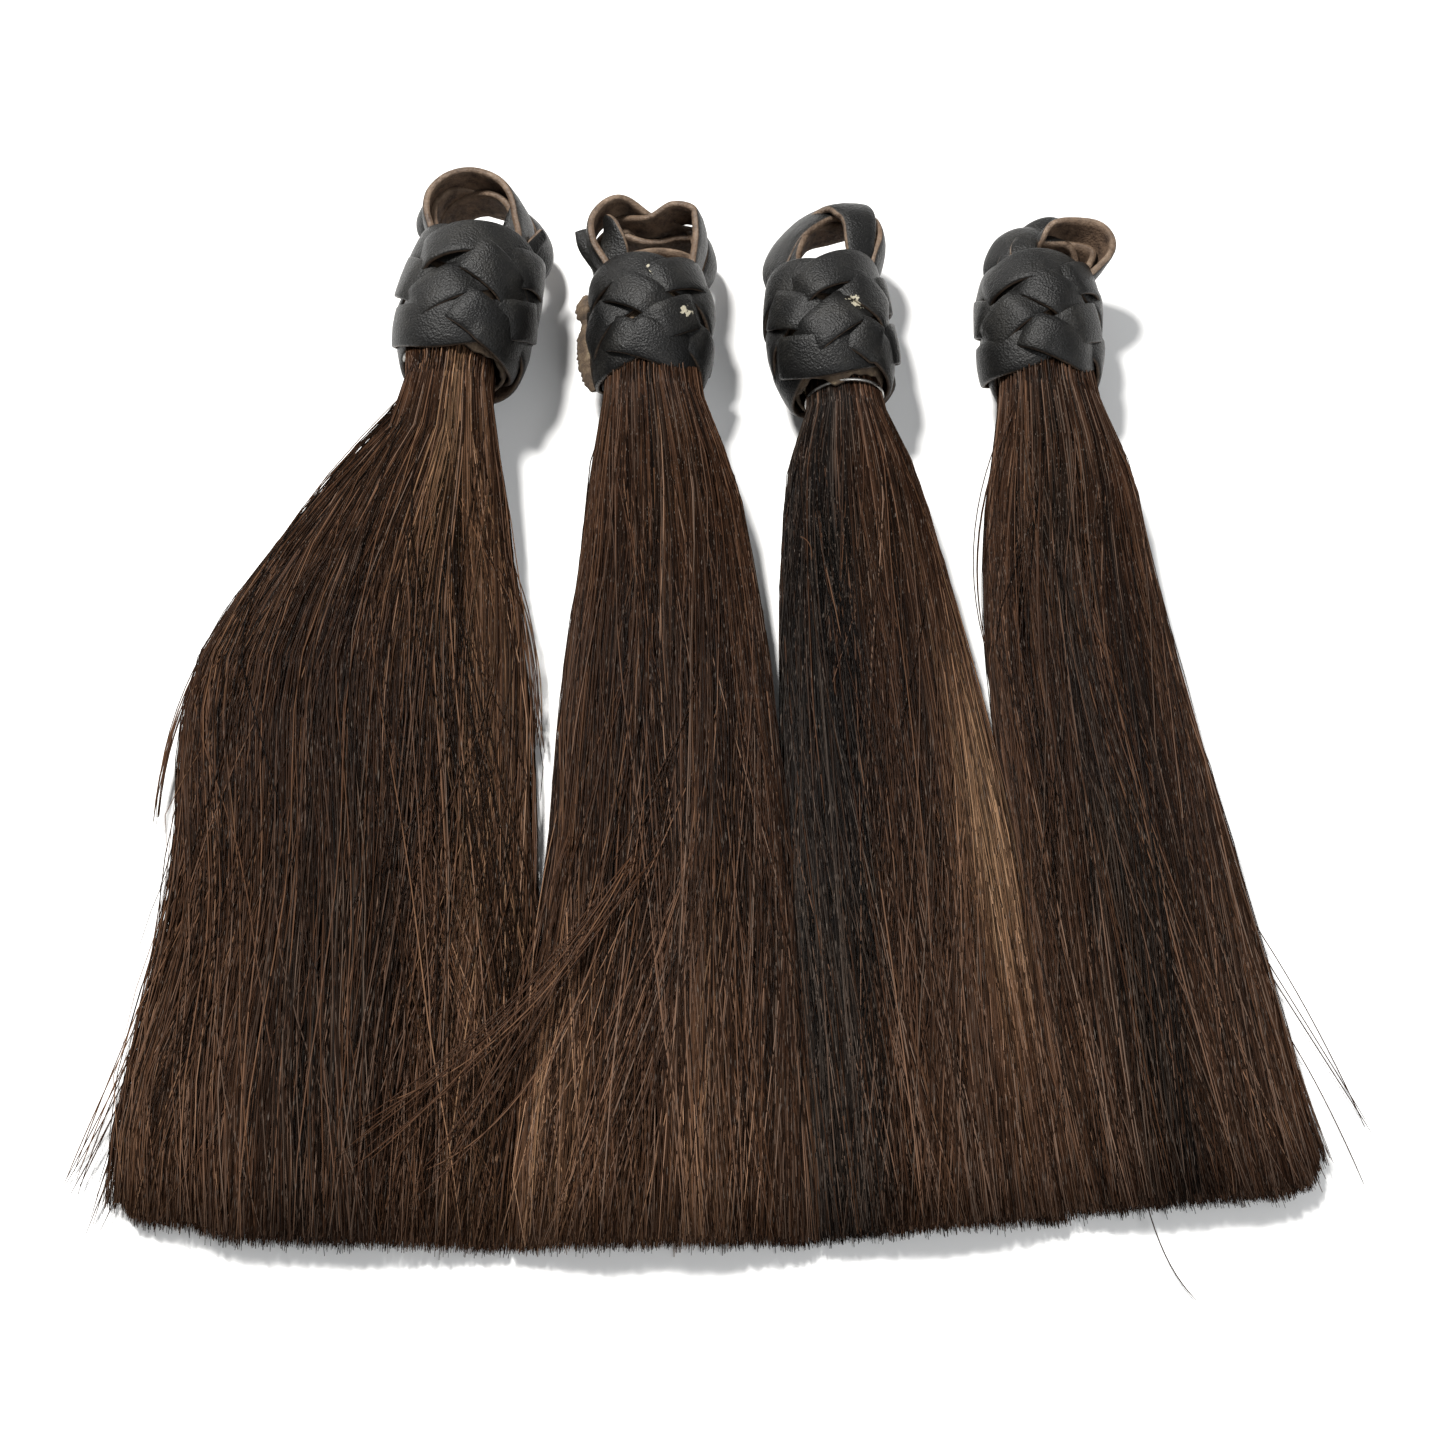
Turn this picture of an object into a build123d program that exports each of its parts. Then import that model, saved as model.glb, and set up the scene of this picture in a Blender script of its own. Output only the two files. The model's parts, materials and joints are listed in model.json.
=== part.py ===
from build123d import *
import math
import os

# A set of four horsehair tassels with plaited leather heads, laid side by side on a table.
# Row frame: +X to the right across the set, +Y towards the hanging loops, +Z up from the table.
# All lengths are in millimetres and all angles in degrees.

os.makedirs("parts", exist_ok=True)

# Knot: one flat thong woven round the head as a Turk's head of five leads and four bights
LEADS = 5
BIGHTS = 4
THONG_THICK = 0.9
THONG_WIDTH_SHARE = 0.24
WEAVE_RISE = 0.88
KNOT_RIM_DROP = 0.9
KNOT_SECTIONS = 88
THONG_END_GAP = 0.35

# Head: lining sleeve, core, bound hair root, whipping and wire ring
SLEEVE_DEPTH = 3.36
SLEEVE_WALL = 0.9
SLEEVE_INSET = 0.6
CORE_RECESS = 1.5
CORE_END = 2.0
TROUGH_GAP = 0.45
WHIP_CORD_R = 0.5
WHIP_TURNS = 9
WHIP_START = 4.0
RING_WIRE_R = 0.45
NECK_PLANE_GAP = 1.7

# Loop: a flat three-strand plait bent to an arch, held in the mouth of the head
LOOP_THICK = 1.0
LOOP_WEAVE_RISE = 1.45
LOOP_WIDTH_SHARE = 0.62
LOOP_SWAY_SHARE = 0.66
LOOP_SECTIONS = 40
LOOP_START = 1.9
LOOP_PLAIT_TURNS = 1.5
TAB_THICK = 2.4

# Hair: hanks lofted side by side, with a small gap between neighbours
HANK_GAP = 0.15
NECK_PIVOT_GAP = 0.3
TIP_FALL = 0.45

# One entry per tassel. fan_left, fan_right and fan_top give the skirt's left edge, right edge
# and middle height at the neck, at each of FAN_Y and at the tips.
FAN_Y = (53.7, 31.7, 2.7, -47.3, -97.3)
FAN_LOW = (3.0, 0.4, 0.0, 0.0, 0.0, 0.0)
FAN_ROUND = (0.75, 0.45, 0.2, 0.05, 0.0, 0.0)
FAN_SECTIONS = 14
TASSELS = {
    "tassel1": {
        "head_x": -62.4,
        "head_y": 94.0,
        "heading": 8.0,
        "knot_r": 17.8,
        "knot_len": 35.0,
        "neck_r": 10.0,
        "neck_shift": -2.1,
        "fan_left": (-92.0, -107.5, -123.5, -124.8, -130.3, -128.8),
        "fan_right": (-52.6, -49.9, -46.0, -43.9, -44.5, -46.1),
        "fan_top": (23.5, 17.0, 12.5, 10.5, 9.0, 8.0),
        "tip_left": -128.8,
        "tip_right": -131.1,
        "hanks": (0.0, 0.24, 0.52, 0.78, 1.0),
        "loop_points": ((-9.3, 0), (-10.2, 4), (-13.2, 10), (-8.6, 15.8), (0, 17.2)),
        "loop_right": ((8.6, 15.6), (13.2, 10), (10.2, 4), (9.3, 0)),
        "loop_base": 7.6,
        "loop_wide": 10.2,
    },
    "tassel2": {
        "head_x": -17.5,
        "head_y": 89.1,
        "heading": 0.0,
        "knot_r": 15.9,
        "knot_len": 31.5,
        "neck_r": 10.0,
        "neck_shift": 0.6,
        "fan_left": (-31.5, -33.6, -36.8, -38.9, -43.3, -45.2),
        "fan_right": (2.0, 7.0, 10.9, 14.3, 16.7, 18.0),
        "fan_top": (23.0, 17.5, 14.0, 12.0, 10.5, 9.5),
        "tip_left": -130.9,
        "tip_right": -129.7,
        "hanks": (0.0, 0.25, 0.5, 0.75, 1.0),
        "loop_points": ((-7.9, 0), (-8.9, 4), (-12.2, 9), (-7.6, 14.2), (0, 12.2)),
        "loop_right": ((7.4, 13.8), (12.2, 9), (8.9, 4), (7.9, 0)),
        "loop_base": 6.3,
        "loop_wide": 8.8,
    },
    "tassel3": {
        "head_x": 26.6,
        "head_y": 87.5,
        "heading": -6.0,
        "knot_r": 16.2,
        "knot_len": 33.5,
        "neck_r": 8.8,
        "neck_shift": 1.0,
        "fan_left": (15.8, 13.9, 13.8, 15.2, 17.4, 18.7),
        "fan_right": (45.7, 52.0, 58.3, 65.9, 70.5, 73.2),
        "fan_top": (22.0, 17.0, 13.0, 11.0, 9.5, 8.5),
        "tip_left": -129.3,
        "tip_right": -124.3,
        "hanks": (0.0, 0.2, 0.4, 0.6, 0.8, 1.0),
        "loop_points": ((-8.1, 0), (-9.0, 4), (-12.6, 9), (-7.0, 15.2), (0.6, 18.6)),
        "loop_right": ((7.4, 15.4), (12.4, 9), (9.0, 4), (8.1, 0)),
        "loop_base": 6.5,
        "loop_wide": 8.8,
    },
    "tassel4": {
        "head_x": 77.4,
        "head_y": 89.0,
        "heading": 0.0,
        "knot_r": 16.0,
        "knot_len": 32.5,
        "neck_r": 9.8,
        "neck_shift": 0.8,
        "fan_left": (64.2, 62.3, 62.6, 66.7, 71.1, 73.8),
        "fan_right": (97.6, 101.3, 106.4, 115.4, 124.6, 130.2),
        "fan_top": (22.0, 17.0, 13.0, 11.0, 9.5, 8.5),
        "tip_left": -123.8,
        "tip_right": -118.8,
        "hanks": (0.0, 0.26, 0.5, 0.76, 1.0),
        "loop_points": ((-7.9, 0), (-8.8, 4), (-10.4, 8), (-4.6, 12.6), (3.4, 13.2)),
        "loop_right": ((11.0, 12.6), (13.6, 8.6), (9.2, 4), (7.9, 0)),
        "loop_base": 6.3,
        "loop_wide": 8.8,
    },
}
STRANDS = ("a", "b", "c")


def save(piece, name):
    """Label a finished piece and write it as one STEP file."""
    piece.part.label = name
    export_step(piece.part, f"parts/{name}.step")


def head_frame(t):
    """Frame at the head's centre: x across, y up, z along the axis towards the hair."""
    turn = math.radians(t["heading"])
    return Plane(
        origin=(t["head_x"], t["head_y"], t["knot_r"]),
        x_dir=(math.cos(turn), -math.sin(turn), 0),
        z_dir=(-math.sin(turn), -math.cos(turn), 0),
    )


def sleeve_inner(t):
    """Inner radius of the lining sleeve, which is also the mouth of the head."""
    return t["knot_r"] - SLEEVE_DEPTH - SLEEVE_WALL


def neck_y(t):
    """Row y of the flat face where the bound root ends and the loose hair begins."""
    turn = math.radians(abs(t["heading"]))
    reach = t["knot_len"] / 2 * math.cos(turn) + t["neck_r"] * math.sin(turn)
    return t["head_y"] - reach - NECK_PLANE_GAP


def neck_x(t):
    """Row x of the middle of the hair at the neck."""
    frame = head_frame(t)
    along = (t["head_y"] - neck_y(t)) / -frame.z_dir.Y
    return t["head_x"] + t["neck_shift"] * frame.x_dir.X + along * frame.z_dir.X


# ---- knot ----


def knot_radius(t, along):
    """Middle radius of the woven thong at a distance along the head, a slight barrel."""
    share = 2 * along / t["knot_len"]
    middle = t["knot_r"] - WEAVE_RISE - THONG_THICK / 2
    return middle - KNOT_RIM_DROP * share**2


def knot_width(t):
    """Width of the woven thong."""
    return t["knot_len"] * THONG_WIDTH_SHARE


def knot_point(t, angle, along, height):
    """Point of the weave in the head's own frame."""
    radius = knot_radius(t, along) + height
    return Vector(radius * math.cos(angle), radius * math.sin(angle), along)


def knot_along(t, turn):
    """Distance along the head of the thong's middle line after a turn in radians."""
    reach = (t["knot_len"] - knot_width(t)) / 2
    return reach * math.cos(BIGHTS * turn / LEADS)


def knot_height(turn):
    """Rise of the thong over a crossing, or its dip under one."""
    crossing = turn * BIGHTS / math.pi
    share = crossing % LEADS
    if share < 1:
        return WEAVE_RISE * math.sin(math.pi * share / 2)
    if share > LEADS - 1:
        return -WEAVE_RISE * math.sin(math.pi * (LEADS - share) / 2)
    return -WEAVE_RISE * math.cos(math.pi * share)


def knot_section(t, turn):
    """Section plane of the thong and its six outline points in that plane."""
    step = 0.002
    ahead = knot_point(t, turn + step, knot_along(t, turn + step), knot_height(turn + step))
    behind = knot_point(t, turn - step, knot_along(t, turn - step), knot_height(turn - step))
    along = knot_along(t, turn)
    height = knot_height(turn)
    middle = knot_point(t, turn, along, height)
    tangent = (ahead - behind).normalized()
    outward = Vector(math.cos(turn), math.sin(turn), 0)
    across = tangent.cross(outward).normalized()
    section = Plane(origin=middle, x_dir=across, z_dir=tangent)
    round_dir = Vector(-math.sin(turn), math.cos(turn), 0)
    points = []
    for face in (-THONG_THICK / 2, THONG_THICK / 2):
        for side in (-0.5, 0.0, 0.5):
            shift = side * knot_width(t)
            angle = turn + shift * across.dot(round_dir) / knot_radius(t, along)
            point = knot_point(t, angle, along + shift * across.Z, height + face) - middle
            points.append((point.dot(section.x_dir), point.dot(section.y_dir)))
    return section, points


def to_row(frame, plane):
    """A plane given in the head's frame, placed in the row's frame."""
    turned = [
        frame.x_dir * v.X + frame.y_dir * v.Y + frame.z_dir * v.Z
        for v in (plane.origin, plane.x_dir, plane.z_dir)
    ]
    return Plane(origin=frame.origin + turned[0], x_dir=turned[1], z_dir=turned[2])


def knot_thong(t):
    """The single thong of the Turk's head, whose two ends meet under a crossing."""
    start = 2 * math.pi / BIGHTS
    gap = THONG_END_GAP / t["knot_r"]
    length = 2 * math.pi * LEADS - gap
    with BuildPart() as thong:
        for i in range(KNOT_SECTIONS + 1):
            section, p = knot_section(t, start + length * i / KNOT_SECTIONS)
            with BuildSketch(to_row(head_frame(t), section)):
                with BuildLine():
                    ThreePointArc(p[0], p[1], p[2])
                    Line(p[2], p[5])
                    ThreePointArc(p[5], p[4], p[3])
                    Line(p[3], p[0])
                make_face()
        loft()
    return thong


# ---- head ----


def inner_sleeve(t):
    """Natural leather lining tube under the knot."""
    outer = t["knot_r"] - SLEEVE_DEPTH
    length = t["knot_len"] - 2 * SLEEVE_INSET
    with BuildPart(head_frame(t)) as sleeve:
        Cylinder(outer, length)
        Cylinder(outer - SLEEVE_WALL, length, mode=Mode.SUBTRACT)
    return sleeve


def head_core(t):
    """Turned core that fills the loop end of the head, with a trough for the loop's tabs."""
    top = -t["knot_len"] / 2
    length = CORE_END - top - CORE_RECESS
    with BuildPart(head_frame(t)) as core:
        with Locations((0, 0, CORE_END)):
            Cylinder(sleeve_inner(t), length, align=(Align.CENTER, Align.CENTER, Align.MAX))
        with Locations((0, 0, top)):
            Cylinder(
                t["loop_base"] + TROUGH_GAP,
                2 * sleeve_inner(t),
                rotation=(0, 90, 0),
                mode=Mode.SUBTRACT,
            )
    return core


def hair_root(t):
    """Bound butt of the hair, from the core to the flat face at the neck."""
    with BuildPart(head_frame(t)) as root:
        with Locations((t["neck_shift"], 0, CORE_END)):
            Cylinder(
                t["neck_r"],
                t["knot_len"],
                align=(Align.CENTER, Align.CENTER, Align.MIN),
            )
        neck = Plane(origin=(0, neck_y(t), 0), x_dir=(1, 0, 0), z_dir=(0, 1, 0))
        split(bisect_by=neck, keep=Keep.TOP)
    return root


def binding_cord(t):
    """Waxed whipping wound round the root inside the head."""
    radius = t["neck_r"] + WHIP_CORD_R
    pitch = 2 * WHIP_CORD_R + 0.05
    frame = head_frame(t)
    start = frame.from_local_coords(Vector(t["neck_shift"], 0, WHIP_START))
    with BuildPart() as cord:
        with BuildLine() as path:
            Helix(pitch, pitch * WHIP_TURNS, radius, center=start, direction=frame.z_dir)
        with BuildSketch(Plane(origin=path.line @ 0, z_dir=path.line % 0)):
            Circle(WHIP_CORD_R)
        sweep()
    return cord


def neck_ring(t, along):
    """Wire ring round the hair at the mouth of the head."""
    with BuildPart(head_frame(t)) as ring:
        with Locations((t["neck_shift"], 0, along)):
            Torus(t["neck_r"] + RING_WIRE_R, RING_WIRE_R)
    return ring


def lining_flap(t):
    """Rough end of the lining that lies outside the knot, down its left side."""
    width, thick, length = 7.0, 1.8, 24.0
    with BuildPart(head_frame(t)) as flap:
        with Locations((-t["knot_r"] - thick / 2 - 0.15, -2.0, 2.0)):
            Box(thick, width, length)
        fillet(flap.edges().filter_by(Axis.Y), 0.8)
    return flap


# ---- loop ----


def loop_line(t):
    """Middle line of the plait in the head's x and height above the mouth."""
    return Spline(*t["loop_points"], *t["loop_right"])


def loop_half_width(t, height):
    """Half the plait's width, narrow in the mouth of the head and full above it."""
    share = min(max((height - 2.5) / 4.5, 0), 1)
    ease = share * share * (3 - 2 * share)
    return t["loop_base"] + (t["loop_wide"] - t["loop_base"]) * ease


def strand_point(t, line, share, phase):
    """Point of one strand of the plait in the head's own frame."""
    p = line @ share
    d = (line % share).normalized()
    half = loop_half_width(t, p.Y)
    turn = 2 * math.pi * LOOP_PLAIT_TURNS * share + phase
    side = half * LOOP_SWAY_SHARE * math.sin(turn)
    wave = math.sin(2 * turn)
    rise = LOOP_WEAVE_RISE * math.copysign(math.sqrt(abs(wave)), wave)
    return Vector(p.X - d.Y * rise, side, -t["knot_len"] / 2 - p.Y - d.X * rise)


def strand_section(t, line, share, phase):
    """Section plane of one strand and the strand's width there."""
    step = 0.004
    here = strand_point(t, line, share, phase)
    ahead = strand_point(t, line, min(share + step, 1), phase)
    behind = strand_point(t, line, max(share - step, 0), phase)
    tangent = (ahead - behind).normalized()
    d = (line % share).normalized()
    outward = Vector(-d.Y, 0, -d.X)
    across = tangent.cross(outward).normalized()
    width = LOOP_WIDTH_SHARE * loop_half_width(t, (line @ share).Y)
    return Plane(origin=here, x_dir=across, z_dir=tangent), width


def loop_thong(t, number):
    """One of the three thongs of the plaited loop."""
    line = loop_line(t)
    phase = 2 * math.pi * number / len(STRANDS) + math.pi / 2
    first = LOOP_START / line.length
    with BuildPart() as thong:
        for i in range(LOOP_SECTIONS + 1):
            share = first + (1 - 2 * first) * i / LOOP_SECTIONS
            section, width = strand_section(t, line, share, phase)
            with BuildSketch(to_row(head_frame(t), section)):
                Rectangle(width, LOOP_THICK)
        loft(ruled=True)
    return thong


def loop_root(t):
    """The plait's two tails in the head, rounded about the line that the loop flexes on."""
    leg = t["loop_right"][-1][0]
    top = -t["knot_len"] / 2
    with BuildPart(head_frame(t)) as root:
        with Locations((-leg, 0, top), (leg, 0, top)):
            Cylinder(t["loop_base"], TAB_THICK, rotation=(0, 90, 0))
        with Locations((0, 0, top)):
            Box(
                4 * leg,
                4 * leg,
                2 * leg,
                align=(Align.CENTER, Align.CENTER, Align.MAX),
                mode=Mode.SUBTRACT,
            )
    return root


# ---- hair ----


def smooth_between(stations, values, y):
    """Value at y on a smooth curve through the values at the falling stations."""
    last = len(stations) - 1
    i = max(k for k in range(last) if y <= stations[k] or k == 0)
    slopes = []
    for k in (i, i + 1):
        before, after = max(k - 1, 0), min(k + 1, last)
        slopes.append((values[after] - values[before]) / (stations[after] - stations[before]))
    span = stations[i + 1] - stations[i]
    u = (y - stations[i]) / span
    start = values[i] * (1 + 2 * u) * (1 - u) ** 2 + slopes[0] * span * u * (1 - u) ** 2
    return start + values[i + 1] * u * u * (3 - 2 * u) + slopes[1] * span * u * u * (u - 1)


def fan_stations(t, share):
    """Row y, edges, top, low line and roundness of the skirt at each section of a hank."""
    neck = neck_x(t)
    tip = t["tip_left"] + (t["tip_right"] - t["tip_left"]) * share
    known = (neck_y(t) - NECK_PIVOT_GAP, *FAN_Y, tip)
    curves = (
        (neck - t["neck_r"] * 0.97, *t["fan_left"]),
        (neck + t["neck_r"] * 0.97, *t["fan_right"]),
        (t["knot_r"] + t["neck_r"], *t["fan_top"]),
        (t["knot_r"] - t["neck_r"], *FAN_LOW),
        (1.0, *FAN_ROUND),
    )
    for i in range(FAN_SECTIONS + 1):
        y = known[0] + (tip - known[0]) * (i / FAN_SECTIONS) ** 1.25
        yield (y, *(smooth_between(known, values, y) for values in curves))


def hair_heights(across, top, low, roundness):
    """Lowest and highest point of the skirt at a place across it, from -1 to 1."""
    low = max(low, 0)
    half = (top - low) / 2
    curve = 1 - math.sqrt(1 - 0.9 * across**2)
    high = top - roundness * half * curve - (1 - roundness) * TIP_FALL * (top - low) * across**2
    return low + roundness * half * curve, high


def hank_edge(points):
    """Arc through three points, or a line where they are in line."""
    (x0, z0), (x1, z1), (x2, z2) = points
    bend = (x1 - x0) * (z2 - z0) - (x2 - x0) * (z1 - z0)
    if abs(bend) < 0.01:
        return Line(points[0], points[2])
    return ThreePointArc(*points)


def hair_hank(t, first, last):
    """One hank of the skirt, between two shares of its width."""
    with BuildPart() as hank:
        for y, left, right, top, low, roundness in fan_stations(t, (first + last) / 2):
            gap = HANK_GAP / (right - left)
            shares = (first + gap, (first + last) / 2, last - gap)
            spots = []
            for share in shares:
                lowest, highest = hair_heights(2 * share - 1, top, low, roundness)
                spots.append((left + (right - left) * share, lowest, highest))
            with BuildSketch(Plane(origin=(0, y, 0), x_dir=(1, 0, 0), z_dir=(0, -1, 0))):
                with BuildLine():
                    hank_edge([(x, low_z) for x, low_z, high_z in spots])
                    Line((spots[2][0], spots[2][1]), (spots[2][0], spots[2][2]))
                    hank_edge([(x, high_z) for x, low_z, high_z in reversed(spots)])
                    Line((spots[0][0], spots[0][2]), (spots[0][0], spots[0][1]))
                make_face()
        loft(ruled=True)
    return hank


# ---- the set ----

for name, tassel in TASSELS.items():
    ring_along = tassel["knot_len"] / 2 + (0.8 if name == "tassel3" else -1.0)
    save(head_core(tassel), f"{name}_head_core")
    save(inner_sleeve(tassel), f"{name}_inner_sleeve")
    save(knot_thong(tassel), f"{name}_knot_thong")
    save(hair_root(tassel), f"{name}_hair_root")
    save(binding_cord(tassel), f"{name}_binding_cord")
    save(neck_ring(tassel, ring_along), f"{name}_neck_ring")
    save(loop_root(tassel), f"{name}_loop_root")
    for number, strand in enumerate(STRANDS):
        save(loop_thong(tassel, number), f"{name}_loop_thong_{strand}")
    edges = tassel["hanks"]
    for number in range(len(edges) - 1):
        hank = hair_hank(tassel, edges[number], edges[number + 1])
        save(hank, f"{name}_hair_hank_{number + 1}")

save(lining_flap(TASSELS["tassel2"]), "tassel2_lining_flap")
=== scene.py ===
import json
import math

import bpy
import numpy as np
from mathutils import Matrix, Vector


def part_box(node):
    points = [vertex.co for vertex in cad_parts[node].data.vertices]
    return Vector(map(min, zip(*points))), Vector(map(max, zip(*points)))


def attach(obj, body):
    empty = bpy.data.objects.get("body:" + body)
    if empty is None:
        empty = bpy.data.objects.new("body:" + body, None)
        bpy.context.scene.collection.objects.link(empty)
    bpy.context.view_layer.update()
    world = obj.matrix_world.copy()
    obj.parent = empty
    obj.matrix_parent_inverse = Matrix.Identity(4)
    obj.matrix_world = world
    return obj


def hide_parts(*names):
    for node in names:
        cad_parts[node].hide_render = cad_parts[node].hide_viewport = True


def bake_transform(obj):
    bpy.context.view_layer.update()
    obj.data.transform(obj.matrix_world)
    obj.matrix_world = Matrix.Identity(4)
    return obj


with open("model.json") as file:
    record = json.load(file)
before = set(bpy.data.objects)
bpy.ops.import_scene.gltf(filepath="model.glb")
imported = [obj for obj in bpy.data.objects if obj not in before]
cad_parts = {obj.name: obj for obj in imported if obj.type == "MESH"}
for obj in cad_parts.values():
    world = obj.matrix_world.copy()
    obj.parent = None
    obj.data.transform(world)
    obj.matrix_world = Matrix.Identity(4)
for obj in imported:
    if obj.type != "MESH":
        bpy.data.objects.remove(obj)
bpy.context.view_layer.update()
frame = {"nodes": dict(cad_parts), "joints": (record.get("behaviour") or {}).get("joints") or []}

# Looks for a set of four horsehair tassels. Everything is in metres, in the frame's own axes:
# +X across the row, +Y towards the loops, +Z up from the table.

MM = 0.001
JOINTS = {joint["name"]: joint for joint in frame["joints"]}
NODES = sorted(frame["nodes"])
TASSELS = ("tassel1", "tassel2", "tassel3", "tassel4")
BAKE_UV = "OFBake"

# ---- camera, light and floor

VIEW_TARGET = Vector((0, -12.3 * MM, 10 * MM))
VIEW_ELEVATION = math.radians(66)
VIEW_DISTANCE = 550 * MM
VIEW_LENS = 59.6
FLOOR_HALF = 6.0
FLOOR_DROP = 0.3 * MM


def add_object(name, data):
    thing = bpy.data.objects.new(name, data)
    bpy.context.scene.collection.objects.link(thing)
    return thing


def aim(thing, place, target):
    thing.location = place
    thing.rotation_mode = "QUATERNION"
    thing.rotation_quaternion = (target - place).to_track_quat("-Z", "Y")


def make_camera():
    data = bpy.data.cameras.new("photo_camera")
    data.lens = VIEW_LENS
    data.sensor_width = 36
    data.clip_start = 0.02
    data.clip_end = 20
    camera = add_object("photo_camera", data)
    back = Vector((0, -math.cos(VIEW_ELEVATION), math.sin(VIEW_ELEVATION)))
    aim(camera, VIEW_TARGET + back * VIEW_DISTANCE, VIEW_TARGET)
    bpy.context.scene.camera = camera


def area_light(name, place, size, power, colour):
    data = bpy.data.lights.new(name, "AREA")
    data.shape = "DISK"
    data.size = size
    data.energy = power
    data.color = colour
    aim(add_object(name, data), Vector(place), Vector((0, 0, 0)))


def make_lights():
    area_light("key", (-0.42, 0.55, 1.2), 0.24, 35, (1, 0.985, 0.96))
    area_light("fill", (0.7, -0.6, 1), 0.9, 8, (0.96, 0.98, 1))
    world = bpy.data.worlds.new("studio")
    world.use_nodes = True
    back = world.node_tree.nodes["Background"]
    back.inputs["Color"].default_value = (1, 1, 1, 1)
    back.inputs["Strength"].default_value = 0.30
    bpy.context.scene.world = world
    bpy.context.scene.view_settings.view_transform = "Standard"


def make_floor():
    data = bpy.data.meshes.new("floor")
    corners = [(-1, -1), (1, -1), (1, 1), (-1, 1)]
    points = [(x * FLOOR_HALF, y * FLOOR_HALF, -FLOOR_DROP) for x, y in corners]
    data.from_pydata(points, [], [(0, 1, 2, 3)])
    data.materials.append(Nodes("pale_floor").finish((0.88, 0.88, 0.875), 0.7))
    add_object("floor", data)


# ---- node helpers


class Nodes:
    def __init__(self, name):
        self.mat = bpy.data.materials.new(name)
        self.mat.use_nodes = True
        self.tree = self.mat.node_tree
        self.shader = self.tree.nodes["Principled BSDF"]

    def put(self, value, socket):
        """Sets a number or colour on a socket, or links an output to it."""
        if isinstance(value, (int, float)):
            socket.default_value = value
        elif isinstance(value, tuple):
            socket.default_value = (*value, 1)
        else:
            self.tree.links.new(value, socket)

    def add(self, kind, inputs, **values):
        node = self.tree.nodes.new(kind)
        for key, value in values.items():
            setattr(node, key, value)
        for key, value in inputs.items():
            self.put(value, node.inputs[key])
        return node

    def attribute(self, name):
        return self.add("ShaderNodeAttribute", {}, attribute_name=name).outputs["Fac"]

    def place(self, stretch=(1, 1, 1)):
        coord = self.add("ShaderNodeTexCoord", {}).outputs["Object"]
        mapping = self.add("ShaderNodeMapping", {"Vector": coord})
        mapping.inputs["Scale"].default_value = stretch
        return mapping.outputs["Vector"]

    def noise(self, place, scale, detail=4.0, rough=0.55):
        inputs = {"Vector": place, "Scale": scale, "Detail": detail, "Roughness": rough}
        return self.add("ShaderNodeTexNoise", inputs).outputs["Fac"]

    def ramp(self, value, stops):
        node = self.add("ShaderNodeValToRGB", {"Fac": value})
        elements = node.color_ramp.elements
        while len(elements) < len(stops):
            elements.new(0.5)
        for element, (spot, colour) in zip(elements, stops):
            element.position = spot
            element.color = (*colour, 1)
        return node.outputs["Color"]

    def mix(self, share, first, second, blend="MIX"):
        inputs = {0: share, 6: first, 7: second}
        return self.add("ShaderNodeMix", inputs, data_type="RGBA", blend_type=blend).outputs[2]

    def maths(self, kind, first, second, clamp=False):
        inputs = {0: first, 1: second}
        return self.add("ShaderNodeMath", inputs, operation=kind, use_clamp=clamp).outputs[0]

    def remap(self, value, low, high, to_low, to_high):
        inputs = {"Value": value, "From Min": low, "From Max": high}
        inputs.update({"To Min": to_low, "To Max": to_high})
        return self.add("ShaderNodeMapRange", inputs).outputs["Result"]

    def bump(self, height, depth, strength):
        inputs = {"Height": height, "Distance": depth, "Strength": strength}
        normal = self.add("ShaderNodeBump", inputs).outputs["Normal"]
        self.put(normal, self.shader.inputs["Normal"])

    def finish(self, colour, roughness):
        self.put(colour, self.shader.inputs["Base Color"])
        self.put(roughness, self.shader.inputs["Roughness"])
        return self.mat


# ---- materials

HAIR_RAMP = [
    (0, (0.009, 0.0068, 0.0056)),
    (0.25, (0.015, 0.0084, 0.0054)),
    (0.5, (0.033, 0.0152, 0.0084)),
    (0.68, (0.068, 0.033, 0.0175)),
    (0.84, (0.13, 0.069, 0.037)),
    (1, (0.21, 0.126, 0.07)),
]
# Painted sheen: grey that the brightest hairs are mixed towards
PAINTED_SHEEN_GREY = (0.125, 0.094, 0.073)
# Painted highlight: colour of the small grey glints on the hair
PAINTED_GLINT = (0.115, 0.092, 0.076)
SCUFFED = (0.36, 0.33, 0.25)
WORN = (0.026, 0.0245, 0.021)


def hair_material():
    """Horsehair: each hair's warmth and tone, a fine mottle, a painted sheen greying the brightest
    hairs and small painted grey glints.
    """
    n = Nodes("horsehair")
    warmth = n.attribute("warmth")
    colour = n.ramp(warmth, HAIR_RAMP)
    mottle = n.noise(n.place((1, 0.08, 1)), 900, 2)
    # Painted highlight: fine streaks where small grey glints are mixed into the colour
    painted_glint = n.remap(n.noise(n.place((1, 0.06, 1)), 4200, 1), 0.66, 0.74, 0, 0.75)
    own_tone = n.attribute("tone")
    tone = n.maths("MULTIPLY", own_tone, n.remap(mottle, 0.3, 0.7, 0.8, 1.2))
    colour = n.mix(1, colour, tone, "MULTIPLY")
    # Painted sheen: the brightest hairs are mixed towards grey, the blackest ones least
    pale = n.remap(own_tone, 1.1, 3.3, 0, 0.6)
    pale = n.maths("MULTIPLY", pale, n.remap(warmth, 0, 0.4, 0.3, 1))
    colour = n.mix(pale, colour, PAINTED_SHEEN_GREY)
    colour = n.mix(painted_glint, colour, PAINTED_GLINT)
    n.shader.inputs["Specular IOR Level"].default_value = 0.05
    return n.finish(colour, 0.33)


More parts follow.
